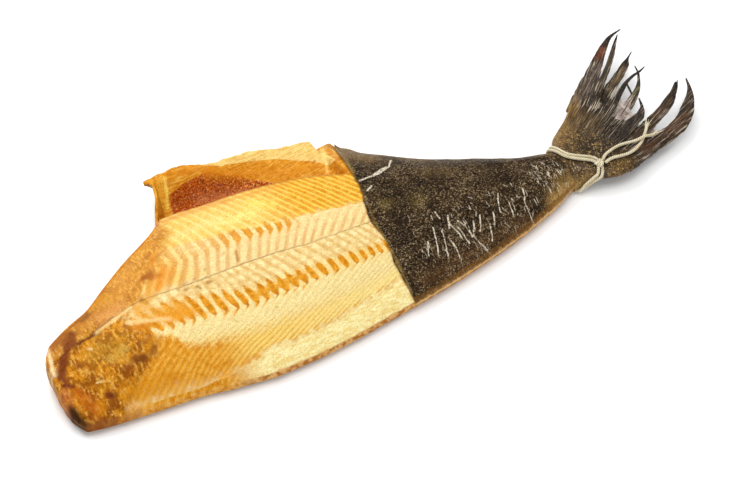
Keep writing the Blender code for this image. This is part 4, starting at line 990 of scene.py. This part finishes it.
def makeDarkSkin():
    # A sheet over the dome, thickened by its folds and thinned by its tears. The first columns hang
    # down over the near edge, the others lie on top.
    inner = darkSkin["columns"][0]
    u, w = sharesAcross(*darkSkin["columns"], -darkSkin["wrap"])
    hang = np.clip(-u / darkSkin["wrap"], 0, 1)
    u = np.clip(u, 0, 1)
    start = np.zeros(len(u))
    for _ in range(20):
        cutY = placeAcross(start, u, w)
        start = 0.5 * start + 0.5 * bodyLine("skinLine", cutY)
    start = start + 0.0007 * rough(cutY, cutY * 0, 0.004, 51, 3)
    further = np.linspace(0, 1, darkSkin["rows"])[:, None] ** 0.95
    x = start + (body["seamX"] + darkSkin["past"] - start) * further
    back, _, belly = edges(x)
    y = placeAcross(x, u, w)
    y = np.where(y > (back + belly) / 2, np.minimum(y, belly - body["bellyTrim"] * (2 - w)), y)
    low = domeAt(x, y) + body["gap"] * (1.3 + 1.2 * (u > 0.8) + 2.0 * lumpAt(x, y))
    folds = 0.75 * strokesOver(x, y, smallFolds(), 0.00045)
    folds = np.maximum(strokesOver(x, y, darkSkin["folds"], 0.0007), folds)
    tears = strokesOver(x, y, darkSkin["tears"], 0.0011)
    inland = ease((x - start) / 0.004) * ease((body["seamX"] - x) / 0.006)
    wide, narrow = darkSkin["swells"]
    swell = wide * rough(x, y, 0.014, 53, 2) + narrow * rough(x, y, 0.0035, 54, 2)
    curl = darkSkin["curl"] * np.exp(-(((x - start) / 0.0025) ** 2))
    knobX, knobY = darkSkin["knobAt"]
    knob = darkSkin["knob"] * np.exp(-(((x - knobX) / 0.006) ** 2) - ((y - knobY) / 0.010) ** 2)
    knob = knob * ease((x - start) / 0.005)
    surface = folds * darkSkin["fold"] + swell - tears * darkSkin["tear"]
    thick = body["skin"] + surface * inland + curl + knob
    # down the near edge the sheet follows the swelling of the meat and turns outwards
    slope = (edges(x + 0.0005)[0] - edges(x - 0.0005)[0]) * 1000
    outX, outY = slope / np.hypot(slope, 1), -1 / np.hypot(slope, 1)
    down = hang * (darkSkin["hang"] + 0.06 * rough(x, x * 0, 0.005, 56))
    out = (edgeSwell(down, x) + body["gap"]) * (hang > 0)
    turn = math.pi / 2 * ease(hang * 2.5)
    aside = 0.6 * thick * np.sin(turn) * ease((body["seamX"] - x) / 0.02)
    low = low - down * (low - meatBottom(x, y))
    keep = np.unique([*range(0, 12, 2), *range(12, inner, 6), *range(inner - 1, len(u), 4), len(u) - 1])
    values = {"fold": np.maximum(folds * inland, tears), "tint": airbrush(x, y, darkSkin["sprays"], 55),
              "worn": 0.6 - 0.6 * ease((y - back) / darkSkin["wornTo"]) + 0.4 * ease(hang * 1.4)}
    top = np.stack([x + outX * (out + aside), y + outY * (out + aside), low + thick * np.cos(turn)], -1)
    bottom = np.stack([x + outX * out, y + outY * out, low], -1)
    mesh = closedSheet(top, bottom, keep, values)
    return makePiece("eyedSideSkin", "skin_eyed_side", "dark_skin", skinFinish(), *mesh)


# The blind side's skin, which shows along the edges
blindSkin = {"rows": 240, "columns": (56, 26), "inset": 0.0008, "wave": 0.00025}


def blindFinish():
    # Tan, darker at the rims of its scales, with pale specks.
    look = Finish("blindSkin", {"Coat Roughness": 0.3, "Specular IOR Level": 0.45})
    place = look.place()
    patchy, speck = look.noise(place, 120, 3), look.noise(place, 1100, 3, 0.6)
    scales = look.cells(place, 1000)
    look.colour = look.mix(patchy.smooth(0.3, 0.7), (168, 122, 70), (196, 152, 94))
    look.paint(scales.smooth(0.25, 0.6) * 0.4, (120, 82, 44))
    look.paint(speck.smooth(0.58, 0.72) * 0.6, (226, 196, 144))
    look.feed(Base_Color=look.colour, Roughness=0.38 + speck * 0.25)
    look.bump(scales * -0.6 + speck * 0.7, 0.0005)
    return look.material


def makeBlindSkin():
    # A flat sheet under the meat whose rim waves up a little from the table.
    u, w = sharesAcross(*blindSkin["columns"])
    x, y = bodyNet(np.linspace(body["headX"] + 0.0006, body["seamX"], blindSkin["rows"]), u, w)
    low = meatBottom(x, y) - body["gap"] - body["skin"]
    shrink = blindSkin["inset"] * (ease((0.06 - u) / 0.06) - (u == 1) * ease((w - 0.9) / 0.1))
    y = y + shrink
    waves = blindSkin["wave"] * rough(x, y, 0.009, 61, 2) * ease((acrossBody(x, y) - 0.8) / 0.2)
    top = np.stack([x, y, low + body["skin"]], -1)
    bottom = np.stack([x, y, low + np.maximum(waves, 0)], -1)

    def push(share, ring):
        # Round, with small bumps.
        return 0.0005 * math.sin(math.pi * share) + 0.0003 * rough(ring[:, 0], ring[:, 1], 0.004, 62)

    mesh = closedSheet(top, bottom, np.arange(len(u)), {}, 3, push)
    return makePiece("blindSideSkin", "skin_blind_side", "blind_skin", blindFinish(), *mesh)


# The root of the tail, the blades of its fan and the web between them
tail = {
    # Sections across the root: near end, far end, thickness, height, in millimetres
    "sections": (
        ((148.3, -28), (148.3, 6.7), 15.6, 12.1), ((156, -27.8), (152.5, 7.5), 15.6, 12.1),
        ((165, -29.2), (157.5, 15), 13.8, 12), ((173, -33.5), (167, 22), 11.2, 11.9),
        ((184, -36.6), (178, 29.5), 8.2, 11.7), ((196, -35.8), (187, 37), 5.6, 11.5),
        ((208, -32), (195, 44.8), 3.4, 11.2),
    ),
    "bulge": 0.0110,
    "rootRidge": 0.00016,
    "rootGrain": 0.00018,
    "rayThick": 0.0026,  # at the foot of a blade, and rayThin at its tip
    "rayThin": 0.0010,
    "rayRidge": 0.00012,
    "fanFrom": (0.069, -0.067),  # where the rays would meet
    "raySpacing": math.radians(0.64),
    # Spines of the blades: x, y, half width, height, in millimetres
    "blades": {
        "outerBelly": (
            (192, 33, 8.5, 11.8), (208, 46, 8, 12), (222, 58, 6.2, 12.3), (232, 66.5, 5.1, 12.8),
            (241, 74.2, 4, 13.4), (250, 81.2, 2.9, 14.2), (260, 87.3, 1.6, 15.2), (271, 89.5, 0.5, 16.5),
        ),
        "second": (
            (200, 28, 6, 12.2), (215, 41, 4.2, 12.4), (226, 50, 3, 13), (238, 59.5, 2.3, 14),
            (249, 69.5, 2, 15), (258, 78.5, 1.3, 16), (265, 85, 0.4, 17),
        ),
        "third": (
            (198, 19, 6.5, 11.6), (214, 32, 6, 11.2), (226, 41, 4.6, 10.8), (236, 47, 4.1, 10.6),
            (246, 53.2, 3.6, 10.6), (254, 58.5, 3, 11), (259, 62.5, 1.1, 11.6), (266, 67, 0.4, 12.6),
        ),
        "fourth": (
            (194, 7, 5.5, 12), (212, 20.5, 4.2, 12.4), (226, 29.7, 2.5, 13), (235, 35.7, 2.1, 13.8),
            (243, 40, 1.4, 14.6), (250, 42.2, 1.1, 15.2), (256, 43.2, 0.9, 15.6), (262, 45.3, 0.4, 16),
        ),
        "fifth": (
            (192, -3, 5.5, 11.6), (208, 8.5, 5, 11.2), (222, 16, 4.2, 10.6), (231, 21.2, 3.8, 10.4),
            (239, 26.2, 3, 10.8), (246, 31.3, 2, 12), (251, 37, 1.2, 13.4), (254.5, 43, 0.9, 15),
            (256, 49.5, 0.4, 16.2),
        ),
        "crossStrand": ((238.5, 27, 0.8, 11.3), (239.5, 32.5, 0.8, 12.8), (240.5, 38.5, 0.8, 14.2)),
        "hook": (
            (194, -11, 5, 12), (208, -3, 5.5, 12.4), (220, 2, 4.6, 13), (229, 5.2, 3.4, 13.8),
            (234.5, 10.5, 1.5, 14.6), (238, 19.2, 0.5, 15.6),
        ),
        "sixth": (
            (192, -21, 5, 11.6), (210, -12, 5.8, 11.2), (229, -4.5, 5, 10.4), (241, 0.5, 4.5, 10),
            (251, 4.8, 4.3, 9.8), (260, 10, 3.8, 10), (268, 15.8, 2.4, 10.6), (275.5, 23.2, 0.6, 11.6),
        ),
        "sixthFork": (
            (260, 8.5, 1.6, 10.1), (268, 14, 1.3, 10.5), (273.5, 19, 0.9, 11), (277.8, 24, 0.4, 11.6),
        ),
        "outerBack": (
            (190, -29, 7, 11.2), (206, -24, 8.5, 10.4), (222, -20.8, 7.8, 9.6), (236, -18.7, 6.7, 9.2),
            (249, -15.2, 6.2, 9), (260, -9.2, 5.6, 9.1), (270, -0.5, 4.5, 9.6), (276.5, 6.2, 3, 10.2),
            (281.2, 13.5, 1.6, 11), (284.5, 22.2, 0.5, 12.2),
        ),
    },
    "sprays": (
        (150, 8, 192, 40, 7, (150, 112, 52), 0.85), (160, 6, 186, 26, 8, (116, 88, 46), 0.7),
        (196, 46, 214, 56, 5, (134, 110, 84), 0.5), (170, -22, 186, -10, 7, (52, 42, 32), 0.75),
        (176, -34, 192, -30, 5, (118, 88, 44), 0.7), (186, 8, 200, 20, 7, (104, 82, 48), 0.55),
        (200, -6, 222, 4, 8, (30, 25, 22), 0.85), (206, 14, 232, 30, 4, (34, 29, 24), 0.6),
        (212, 50, 236, 66, 6, (104, 88, 82), 0.65), (240, 74, 246, 78, 5, (112, 56, 34), 0.85),
        (254, 84, 270, 90, 5, (34, 30, 26), 0.8), (222, 46, 262, 84, 3, (62, 54, 36), 0.6),
        (228, 42, 252, 57, 3, (118, 96, 66), 0.6), (236, 35, 262, 46, 3, (22, 19, 17), 0.9),
        (244, 30, 256, 50, 3, (24, 21, 18), 0.85), (228, 5, 238, 20, 3, (26, 21, 18), 0.9),
        (216, -10, 262, 12, 5, (80, 56, 38), 0.7), (266, 14, 278, 24, 3, (26, 22, 20), 0.9),
        (210, -24, 262, -8, 5, (92, 58, 38), 0.75), (224, -15, 262, -3, 1.8, (34, 24, 20), 0.8),
        (268, -2, 285, 22, 4, (50, 34, 28), 0.85), (212, 16, 248, 32, 0.7, (170, 158, 92), 0.55),
        (148, -29, 160, -30, 5, (164, 128, 70), 0.85), (150, -14, 158, -8, 9, (80, 60, 34), 0.8),
        (160, -32, 172, -34, 5, (70, 54, 36), 0.5),
    ),
}


def rayValues(x, y):
    # Which ray a place is on, counted by its angle from where the rays would meet, how far out along
    # it, and its colour.
    fromX, fromY = tail["fanFrom"]
    return {
        "ray": np.arctan2(y - fromY, x - fromX) / tail["raySpacing"],
        "along": np.hypot(x - fromX, y - fromY),
        "tint": airbrush(x, y, tail["sprays"], 71),
    }


def finFinish():
    # Scaly at the root, then dark with pale and black streaks along the rays.
    look = Finish("driedFin", {"Coat Roughness": 0.2, "Specular IOR Level": 0.15})
    place = look.place()
    ray, along = look.value("ray"), look.value("along")
    tint, tinted = look.sprayed()
    patchy, speck = look.noise(place, 130, 3), look.noise(place, 1100, 3, 0.65)
    scales = look.cells(place, 900)
    rooted = 1 - (along + (patchy - 0.5) * 0.03).smooth(0.128, 0.146)
    grain = look.noise(place, 900, 3, 0.65)
    crumb = look.cells(place, 1000, out="Color")
    streak = look.noise(look.triple(ray * 1.2, along * 50), 1.0, 3, 0.65)
    pale = look.noise(look.triple(ray * 3.0, along * 45, 4.0), 1.0, 2, 0.6)
    look.colour = look.mix(patchy.smooth(0.35, 0.65), (36, 26, 17), (64, 46, 28))
    look.paint(tinted * (0.6 + patchy * 0.7), tint)
    free = 1 - rooted
    look.paint(streak.smooth(0.42, 0.56) * free * (0.9 - tinted * 0.35), (16, 11, 8))
    look.paint(pale.smooth(0.56, 0.65) * free * (0.95 - tinted * 0.95), (208, 192, 168))
    look.paint((1 - crumb.smooth(0.25, 0.45)) * rooted * 0.6, (24, 16, 6))
    bright = crumb.smooth(0.60, 0.90) * grain.smooth(0.36, 0.60) * (0.15 + rooted * 0.65)
    look.paint(bright, (192, 158, 96))
    oily = patchy.smooth(0.3, 0.7) * 0.4
    look.feed(Base_Color=look.colour, Roughness=0.36 + speck * 0.25, Coat_Weight=oily)
    ridges = ray.wave(1) * free * 0.4
    look.bump(ridges + streak * 0.8 * free + scales * rooted * -0.8 + grain * 0.9, 0.0005)
    return look.material


def makeFanRoot(material):
    # Sections of a flat lens shape carried from the waist out into the fan, with rays as low ridges.
    # The lens is thickness / 2 * (0.3 + 0.7 (1 - |2a - 1| cubed) to the 0.6).
    rows, columns = 110, 180
    place = np.linspace(0, len(tail["sections"]) - 1, rows)
    parts = [(*near, *far, thick, height) for near, far, thick, height in tail["sections"]]
    steps = np.arange(len(parts))
    nearX, nearY, farX, farY, thick, height = (
        through(np.stack([steps, part], 1), place)[:, None] / 1000 for part in np.array(parts).T
    )
    even = np.linspace(0, 1, columns)
    a = (0.5 - 0.5 * np.cos(math.pi * even)) * 0.5 + 0.5 * even
    bulge = tail["bulge"] * ease((nearX - 0.165) / 0.045)
    x = nearX + (farX - nearX) * a + bulge * 4 * a * (1 - a)
    y = nearY + (farY - nearY) * a
    half = thick / 2 * (0.30 + 0.70 * (1 - np.abs(2 * a - 1) ** 3) ** 0.6)
    values = rayValues(x, y)
    out = ease((place[:, None] - 2.5) / 2)
    ridges = tail["rootRidge"] * np.cos(2 * math.pi * values["ray"]) * out
    grain = tail["rootGrain"] * rough(x, y, 0.004, 72, 3) * ease(place[:, None] / 0.6)
    tip = ease((6.0 - place[:, None]) / 0.8)
    half = half * (0.35 + 0.65 * tip)
    # it starts with the section of the body's end and takes its own within the first stretch
    seam = np.full_like(y[:1], body["seamX"])
    turned = 1 - ease(place[:, None] / 2.2)
    bodyHigh = domeAt(seam, y[:1]) + body["skin"] + body["gap"] * 1.3
    bodyLow = meatBottom(seam, y[:1]) - body["gap"] - body["skin"]
    high = (height + half) * (1 - turned) + bodyHigh * turned + ridges + grain
    low = (height - half) * (1 - turned) + bodyLow * turned
    top, bottom = np.stack([x, y, high], -1), np.stack([x, y, low], -1)
    keep = np.unique([*range(0, columns, 2), columns - 1])
    return makePiece("finRoot", "tail_fin", "fin", material, *closedSheet(top, bottom, keep, values))


def anglesRound(count):
    # Equal steps round a full turn.
    return np.linspace(0, 2 * math.pi, count, endpoint=False)


def lengthAlong(path):
    # How far along the path each of its points is.
    steps = np.linalg.norm(np.diff(path, axis=0), axis=1)
    return np.concatenate([[0], np.cumsum(steps)])


def smoothRoute(route, count):
    # Evenly spaced places on cubics through the route's points.
    route = np.array(route, float)
    length = lengthAlong(route[:, :3])
    slope = np.gradient(route, length, axis=0)
    at = np.linspace(0, length[-1], count)
    k = np.clip(np.searchsorted(length, at) - 1, 0, len(length) - 2)
    at, before, after = at[:, None], length[k][:, None], length[k + 1][:, None]
    return cubic(at, before, after, route[k], route[k + 1], slope[k], slope[k + 1])


def bladeMesh(spine, seed):
    # A flat lens carried along the spine: half width across, and up and down by thickness *
    # (0.18 + 0.32 (1 - a squared)), with rays as ridges along it and a worn edge.
    rows, columns = 110, 25
    path = smoothRoute(np.array(spine)[:, [0, 1, 3, 2]] / 1000, rows)
    t = np.linspace(0, 1, rows)
    along = np.gradient(path[:, :2], axis=0)
    along /= np.hypot(along[:, 0], along[:, 1])[:, None]
    half = np.maximum(path[:, 3], 0.0003)[:, None]
    a = np.linspace(-1, 1, columns)
    worn = 1 + 0.10 * rough(t * 0.09, t * 0, 0.004, seed, 3)[:, None] * np.abs(a)
    reach = a * half * worn
    x = path[:, :1] - along[:, 1:] * reach
    y = path[:, 1:2] + along[:, :1] * reach
    thinning = (1 - t[:, None]) * np.minimum(1, half / 0.004)
    thick = tail["rayThin"] + (tail["rayThick"] - tail["rayThin"]) * thinning
    lens = thick * (0.18 + 0.32 * (1 - a**2))
    rays = np.round(half * 2 / 0.0016).clip(1, 12)
    ridges = np.cos(2 * math.pi * rays * (a + 1) / 2) * (1 - np.abs(a) ** 4)
    ridges = ridges * tail["rayRidge"] * np.minimum(1, half / 0.003)
    cup = -0.10 * half * (1 - a**2) + path[:, 2:3] - 0.0022 * (1 - ease(t[:, None] / 0.22))
    top = np.stack([x, y, cup + lens + ridges], -1)
    bottom = np.stack([x, y, cup - lens * 0.9], -1)
    net = np.arange(rows * columns).reshape(rows, columns)
    under = net[:, 1:-1] - net[0, 1] - np.arange(rows)[:, None] * 2 + net.size
    ring = np.concatenate([net, under[:, ::-1], net[:, :1]], 1)
    points = np.concatenate([top.reshape(-1, 3), bottom[:, 1:-1].reshape(-1, 3)])
    others = [ring[0, :-1], ring[-1, :-1][::-1]]
    return points, netQuads(ring), others, rayValues(points[:, 0], points[:, 1])


def makeBlades(material):
    # All blades as one mesh, each with its own seed.
    blades = [bladeMesh(spine, 80 + k) for k, spine in enumerate(tail["blades"].values())]
    return makePiece("finBlades", "tail_fin", "fin", material, *joined(blades))


# Torn web between the blades: one side from, to, the other side from, to, and the height, in
# millimetres
webs = {
    "fourthToFifth": (((206, 16), (234, 35)), ((214, 11.5), (240, 27.5)), 12),
    "fifthToHook": (((214, 11), (233.5, 22.5)), ((218, 1), (232.5, 8)), 11.8),
    "besideOuter": (((216, -9.5), (240, 0)), ((216, -18), (240, -13)), 10),
}


def webFinish():
    # A thin pale skin, partly seen through.
    look = Finish("tornWeb", {"Specular IOR Level": 0.5})
    place = look.place()
    fine = look.noise(look.place((300, 300, 300)), 1.0, 3)
    look.colour = look.mix(fine.smooth(0.35, 0.65), (150, 132, 120), (204, 188, 178))
    look.feed(Base_Color=look.colour, Alpha=0.25 + fine * 0.5, Roughness=0.4 + fine * 0.3)
    look.bump(fine + look.noise(place, 900, 2), 0.0003)
    return look.material


def makeWebs():
    # Thin sheets between two straight sides, drawn in at the free end and slightly sagging.
    parts = []
    for seed, (left, right, height) in enumerate(webs.values()):
        s, t = np.linspace(0, 1, 24)[:, None], np.linspace(0, 1, 14)
        one, other = (ends[0] + (ends[1] - ends[0]) * s for ends in np.array((left, right)) / 1000)
        place = one[:, None] * (1 - t[:, None]) + other[:, None] * t[:, None]
        torn = (1 - 0.35 * np.sin(math.pi * t) * s)[..., None]
        place = place[0] + (place - place[0]) * torn
        ripple = 0.0003 * rough(place[..., 0], place[..., 1], 0.003, 90 + seed)
        z = height / 1000 + ripple - 0.0008 * np.sin(math.pi * t)
        sheets = [np.concatenate([place, (z + lift)[..., None]], -1) for lift in (0.0001, -0.0001)]
        net = np.arange(s.size * t.size).reshape(s.size, t.size)
        under = net + net.size
        loop = borderLoop(s.size, t.size)
        border = np.stack([np.append(loop + net.size, loop[0] + net.size), np.append(loop, loop[0])], 1)
        # the two sides run clockwise here, so the upper faces are turned
        quads = [netQuads(net)[:, ::-1], netQuads(under), netQuads(border)[:, ::-1]]
        parts.append((np.reshape(sheets, (-1, 3)), np.concatenate(quads), [], {}))
    return makePiece("finWeb", "tail_fin", "fin", webFinish(), *joined(parts))


# The twine round the waist, its knot and its two loose ends
twine = {
    "thick": 0.0024,
    "pitch": 0.0052,  # length of one turn of its three strands
    "strand": (0.26, 0.24),  # radius and distance from the middle, in thicknesses
    "waist": (0.1505, -0.0100, 0.0120),
    "steps": 36,
    "outside": 0.08,  # from where its way inwards is measured
    "clear": 0.0004,
    "spacing": 0.0028,  # between the two turns
    "pull": 0.0200,  # towards the knot
    "knotAngle": math.radians(148),
    "knot": (0.1705, -0.0250, 0.0195),
    "knotSize": (0.0042, 0.0034, 0.0026),
    "upper": (
        (0.1746, -0.0232, 0.0196), (0.1773, -0.0211, 0.0190), (0.1803, -0.0190, 0.0181),
        (0.1845, -0.0173, 0.0174), (0.1890, -0.0160, 0.0170), (0.1932, -0.0152, 0.0166),
        (0.1980, -0.0149, 0.0161), (0.2030, -0.0154, 0.0158), (0.2080, -0.0164, 0.0159),
        (0.2120, -0.0168, 0.0164), (0.2155, -0.0168, 0.0168), (0.2185, -0.0165, 0.0162),
        (0.2215, -0.0162, 0.0147), (0.2250, -0.0156, 0.0130), (0.2286, -0.0144, 0.0120),
    ),
    "lower": (
        (0.1752, -0.0262, 0.0188), (0.1779, -0.0250, 0.0182), (0.1806, -0.0241, 0.0176),
        (0.1847, -0.0238, 0.0171), (0.1888, -0.0242, 0.0166), (0.1940, -0.0246, 0.0160),
        (0.1985, -0.0244, 0.0156), (0.2037, -0.0231, 0.0151), (0.2086, -0.0209, 0.0146),
        (0.2122, -0.0189, 0.0141), (0.2155, -0.0166, 0.0137), (0.2185, -0.0140, 0.0134),
        (0.2215, -0.0114, 0.0132), (0.2245, -0.0086, 0.0131), (0.2275, -0.0058, 0.0131),
    ),
    "fibres": 16,
}


def twineFinish():
    # Cream cotton, with painted shade in the grooves between strands, and paler fibres along them.
    look = Finish("cottonTwine", {"Sheen Weight": 0.3, "Sheen Roughness": 0.5, "Specular IOR Level": 0.25})
    groove = look.value("groove")
    fibre = look.noise(look.triple(look.value("turn") * 30, look.value("length") * 900), 1.0, 3)
    stain = look.noise(look.place(), 160, 2)
    look.colour = look.mix(stain.smooth(0.35, 0.7), (240, 230, 198), (226, 210, 168))
    # painted shade: darker where the strands meet
    look.paint(groove.smooth(0.2, 0.9) * 0.65, (150, 126, 84))
    look.paint(fibre.smooth(0.55, 0.75) * 0.4, (250, 244, 222))
    look.feed(Base_Color=look.colour, Roughness=0.7 + fibre * 0.25)
    look.bump(fibre - groove * 0.5, 0.0003)
    return look.material


def twistedTube(path, closed, upright):
    # Three round strands laid round each other along a path. Round the middle, their outline is at
    # d cos(a) + sqrt(r squared - (d sin(a)) squared), with a from the nearest strand's middle.
    around = 24
    length = lengthAlong(path)
    along, turns = np.gradient(path, axis=0), 1 / twine["pitch"]
    if closed:
        # a whole number of turns, so that the strands meet again
        along = np.roll(path, -1, 0) - np.roll(path, 1, 0)
        whole = length[-1] + np.linalg.norm(path[0] - path[-1])
        turns = round(whole / twine["pitch"]) / whole
    along /= np.linalg.norm(along, axis=1)[:, None]
    side = np.cross(along, upright)
    side /= np.linalg.norm(side, axis=1)[:, None]
    up = np.cross(side, along)
    angle = anglesRound(around)
    spun = angle - (2 * math.pi * turns * length)[:, None]
    a = np.mod(spun + math.pi / 3, 2 * math.pi / 3) - math.pi / 3
    r, d = (twine["thick"] * share for share in twine["strand"])
    out = d * np.cos(a) + np.sqrt(r**2 - (d * np.sin(a)) ** 2)
    spoke = np.cos(angle)[:, None] * side[:, None] + np.sin(angle)[:, None] * up[:, None]
    points = path[:, None] + out[..., None] * spoke
    net = np.arange(len(path) * around).reshape(len(path), around)
    ring = np.concatenate([net, net[:, :1]], 1)
    others = [] if closed else [net[0], net[-1][::-1]]
    if closed:
        ring = np.concatenate([ring, ring[:1]])
    values = {
        "groove": np.abs(a) / (math.pi / 3),
        "turn": a / (math.pi / 3) + np.floor((spun + math.pi / 3) / (2 * math.pi / 3)),
        "length": np.broadcast_to(length[:, None], a.shape),
    }
    values = {name: value.reshape(-1) for name, value in values.items()}
    return points.reshape(-1, 3), netQuads(ring)[:, ::-1], [other[::-1] for other in others], values


def flare(name, end, direction, material, seed):
    # The frayed tip: thin tapered fibres that leave the end, spread by a seeded angle and bend.
    dice = np.random.default_rng(seed)
    count, rows, around = twine["fibres"], 8, 5
    t = np.linspace(0, 1, rows)[None, :, None]
    spread = dice.normal(0, 0.42, (count, 1, 3)) * (1, 1, 0.35)
    length = dice.uniform(0.0035, 0.0068, (count, 1, 1))
    start = end - direction * 0.0012 + dice.normal(0, 0.0004, (count, 1, 3))
    path = start + (direction + spread * (0.45 + 0.55 * t)) * length * t
    path[..., 2] = np.maximum(path[..., 2], end[2] - 0.0008)
    angle = anglesRound(around)
    thick = dice.uniform(0.00018, 0.00038, (count, 1, 1)) * (1.15 - t)
    side = np.cross(direction, (0, 0, 1.0))
    ring = np.cos(angle)[:, None] * side + np.sin(angle)[:, None] * np.array((0, 0, 1.0))
    points = path[:, :, None] + thick[..., None] * ring
    net = np.arange(count * rows * around).reshape(count, rows, around)
    net = np.concatenate([net, net[:, :, :1]], 2)
    quads = np.concatenate([netQuads(one) for one in net])[:, ::-1]
    others = [one[0, :-1][::-1] for one in net] + [one[-1, :-1] for one in net]
    size = count * rows * around
    values = {"groove": np.full(size, 0.1), "turn": np.repeat(np.arange(count), rows * around) * 1.0,
              "length": np.tile(np.repeat(np.linspace(0, 0.006, rows), around), count)}
    return makePiece(name, None, "cotton_twine", material, points.reshape(-1, 3), quads, others, values)


def makeEnd(name, node, route, material, seed):
    # A loose end along its route, with its frayed tip.
    path = smoothRoute(route, 180)
    made = makePiece(name, node, "cotton_twine", material, *twistedTube(path, False, (0, 0, 1.0)))
    direction = path[-1] - path[-6]
    tip = flare(name + "Tip", path[-1], direction / np.linalg.norm(direction), material, seed)
    line = [list(map(float, place - middle)) for place in (*path[::6], path[-1])]


cotton = twineFinish()
makeEnd("stringEndUpper", "string_end_upper", twine["upper"], cotton, 101)
makeEnd("stringEndLower", "string_end_lower", twine["lower"], cotton, 102)

fillet = makeMeat()
eyedSkin = makeDarkSkin()
blind = makeBlindSkin()
dried = finFinish()
finRoot = makeFanRoot(dried)
blades = makeBlades(dried)
makeWebs()
print("halibut: tail")


def reachOf(trees, start, direction, clear):
    # How far from the start, against the direction, the twine comes before it meets a surface.
    nearest = start.length
    for tree in trees:
        for aside in (-twine["thick"] / 2, 0, twine["thick"] / 2):
            hit, normal, _, distance = tree.ray_cast(start + Vector((aside, 0, 0)), -direction)
            if hit is not None:
                nearest = min(nearest, distance - clear / max(0.8, abs(normal.dot(direction))))
    return nearest


def tautLoop(trees, middles, directions, clear):
    # A loop held off the surfaces. A point moves out to the line between its neighbours where it
    # lies inside that line, so the loop bridges what is hollow.
    starts = [place + direction * twine["outside"] for place, direction in zip(middles, directions)]
    radii = [twine["outside"] - reachOf(trees, s, d, clear) for s, d in zip(starts, directions)]
    for _ in range(80):
        for k in range(len(radii)):
            n = (k + 1) % len(radii)
            before, after = directions[k - 1] * radii[k - 1], directions[n] * radii[n]
            bridge = before.cross(after).x / directions[k].cross(after - before).x
            radii[k] = max(radii[k], bridge)
    return [place + direction * radius for place, direction, radius in zip(middles, directions, radii)]


def knotPath():
    # A trefoil: sin t + 2 sin 2t, cos t - 2 cos 2t, -1.2 sin 3t, scaled to the room in the knot.
    t = anglesRound(160)
    trefoil = (np.sin(t) + 2 * np.sin(2 * t), np.cos(t) - 2 * np.cos(2 * t), -1.2 * np.sin(3 * t))
    room = np.array(twine["knotSize"]) - (0.0011, 0.0011, 0.0008)
    return np.array(twine["knot"]) + np.stack(trefoil, 1) / 3 * room


def makeTie(pieces, material):
    # Two turns side by side round the waist, drawn towards the knot, then a knot of one strand.
    graph = bpy.context.evaluated_depsgraph_get()
    trees = [BVHTree.FromObject(piece, graph) for piece in pieces]
    shift = Vector(-middle)
    waist, steps = Vector(twine["waist"]) + shift, twine["steps"]
    clear = twine["thick"] / 2 + twine["clear"]
    angles = anglesRound(steps)
    pulls = twine["pull"] * np.exp(-(((angles - twine["knotAngle"]) / 0.80) ** 2))
    middles = [waist + Vector((pull, 0, 0)) for pull in pulls]
    directions = [Vector((0, math.cos(a), math.sin(a) * 0.75)).normalized() for a in angles]
    between = tautLoop(trees, middles, directions, clear)
    parts = []
    for side in (-1, 1):
        middles, directions = [], []
        for k, place in enumerate(between):
            along = (between[(k + 1) % steps] - between[k - 1]).normalized()
            aside = (Vector((1, 0, 0)) - along * along.x).normalized()
            moved = place + aside * side * twine["spacing"] / 2
            middles.append(Vector((moved.x, waist.y, waist.z)))
            directions.append(Vector((0, moved.y - waist.y, moved.z - waist.z)).normalized())
        turn = np.array(tautLoop(trees, middles, directions, clear)) + middle
        # one turn out of a longer route, from its first point round to the same point
        path = smoothRoute(np.concatenate([turn[-3:], turn, turn[:4]]), 400)
        away, half = np.linalg.norm(path - turn[0], axis=1), len(path) // 2
        first, last = np.argmin(away[:half]), half + np.argmin(away[half:])
        parts.append(twistedTube(path[first:last], True, (1.0, 0, 0)))
    parts.append(twistedTube(knotPath(), True, (0, 0, 1.0)))
    makePiece("waistTie", "tie_string", "cotton_twine", material, *joined(parts))


makeTie([fillet, eyedSkin, blind, finRoot, blades], cotton)
print("halibut: twine")
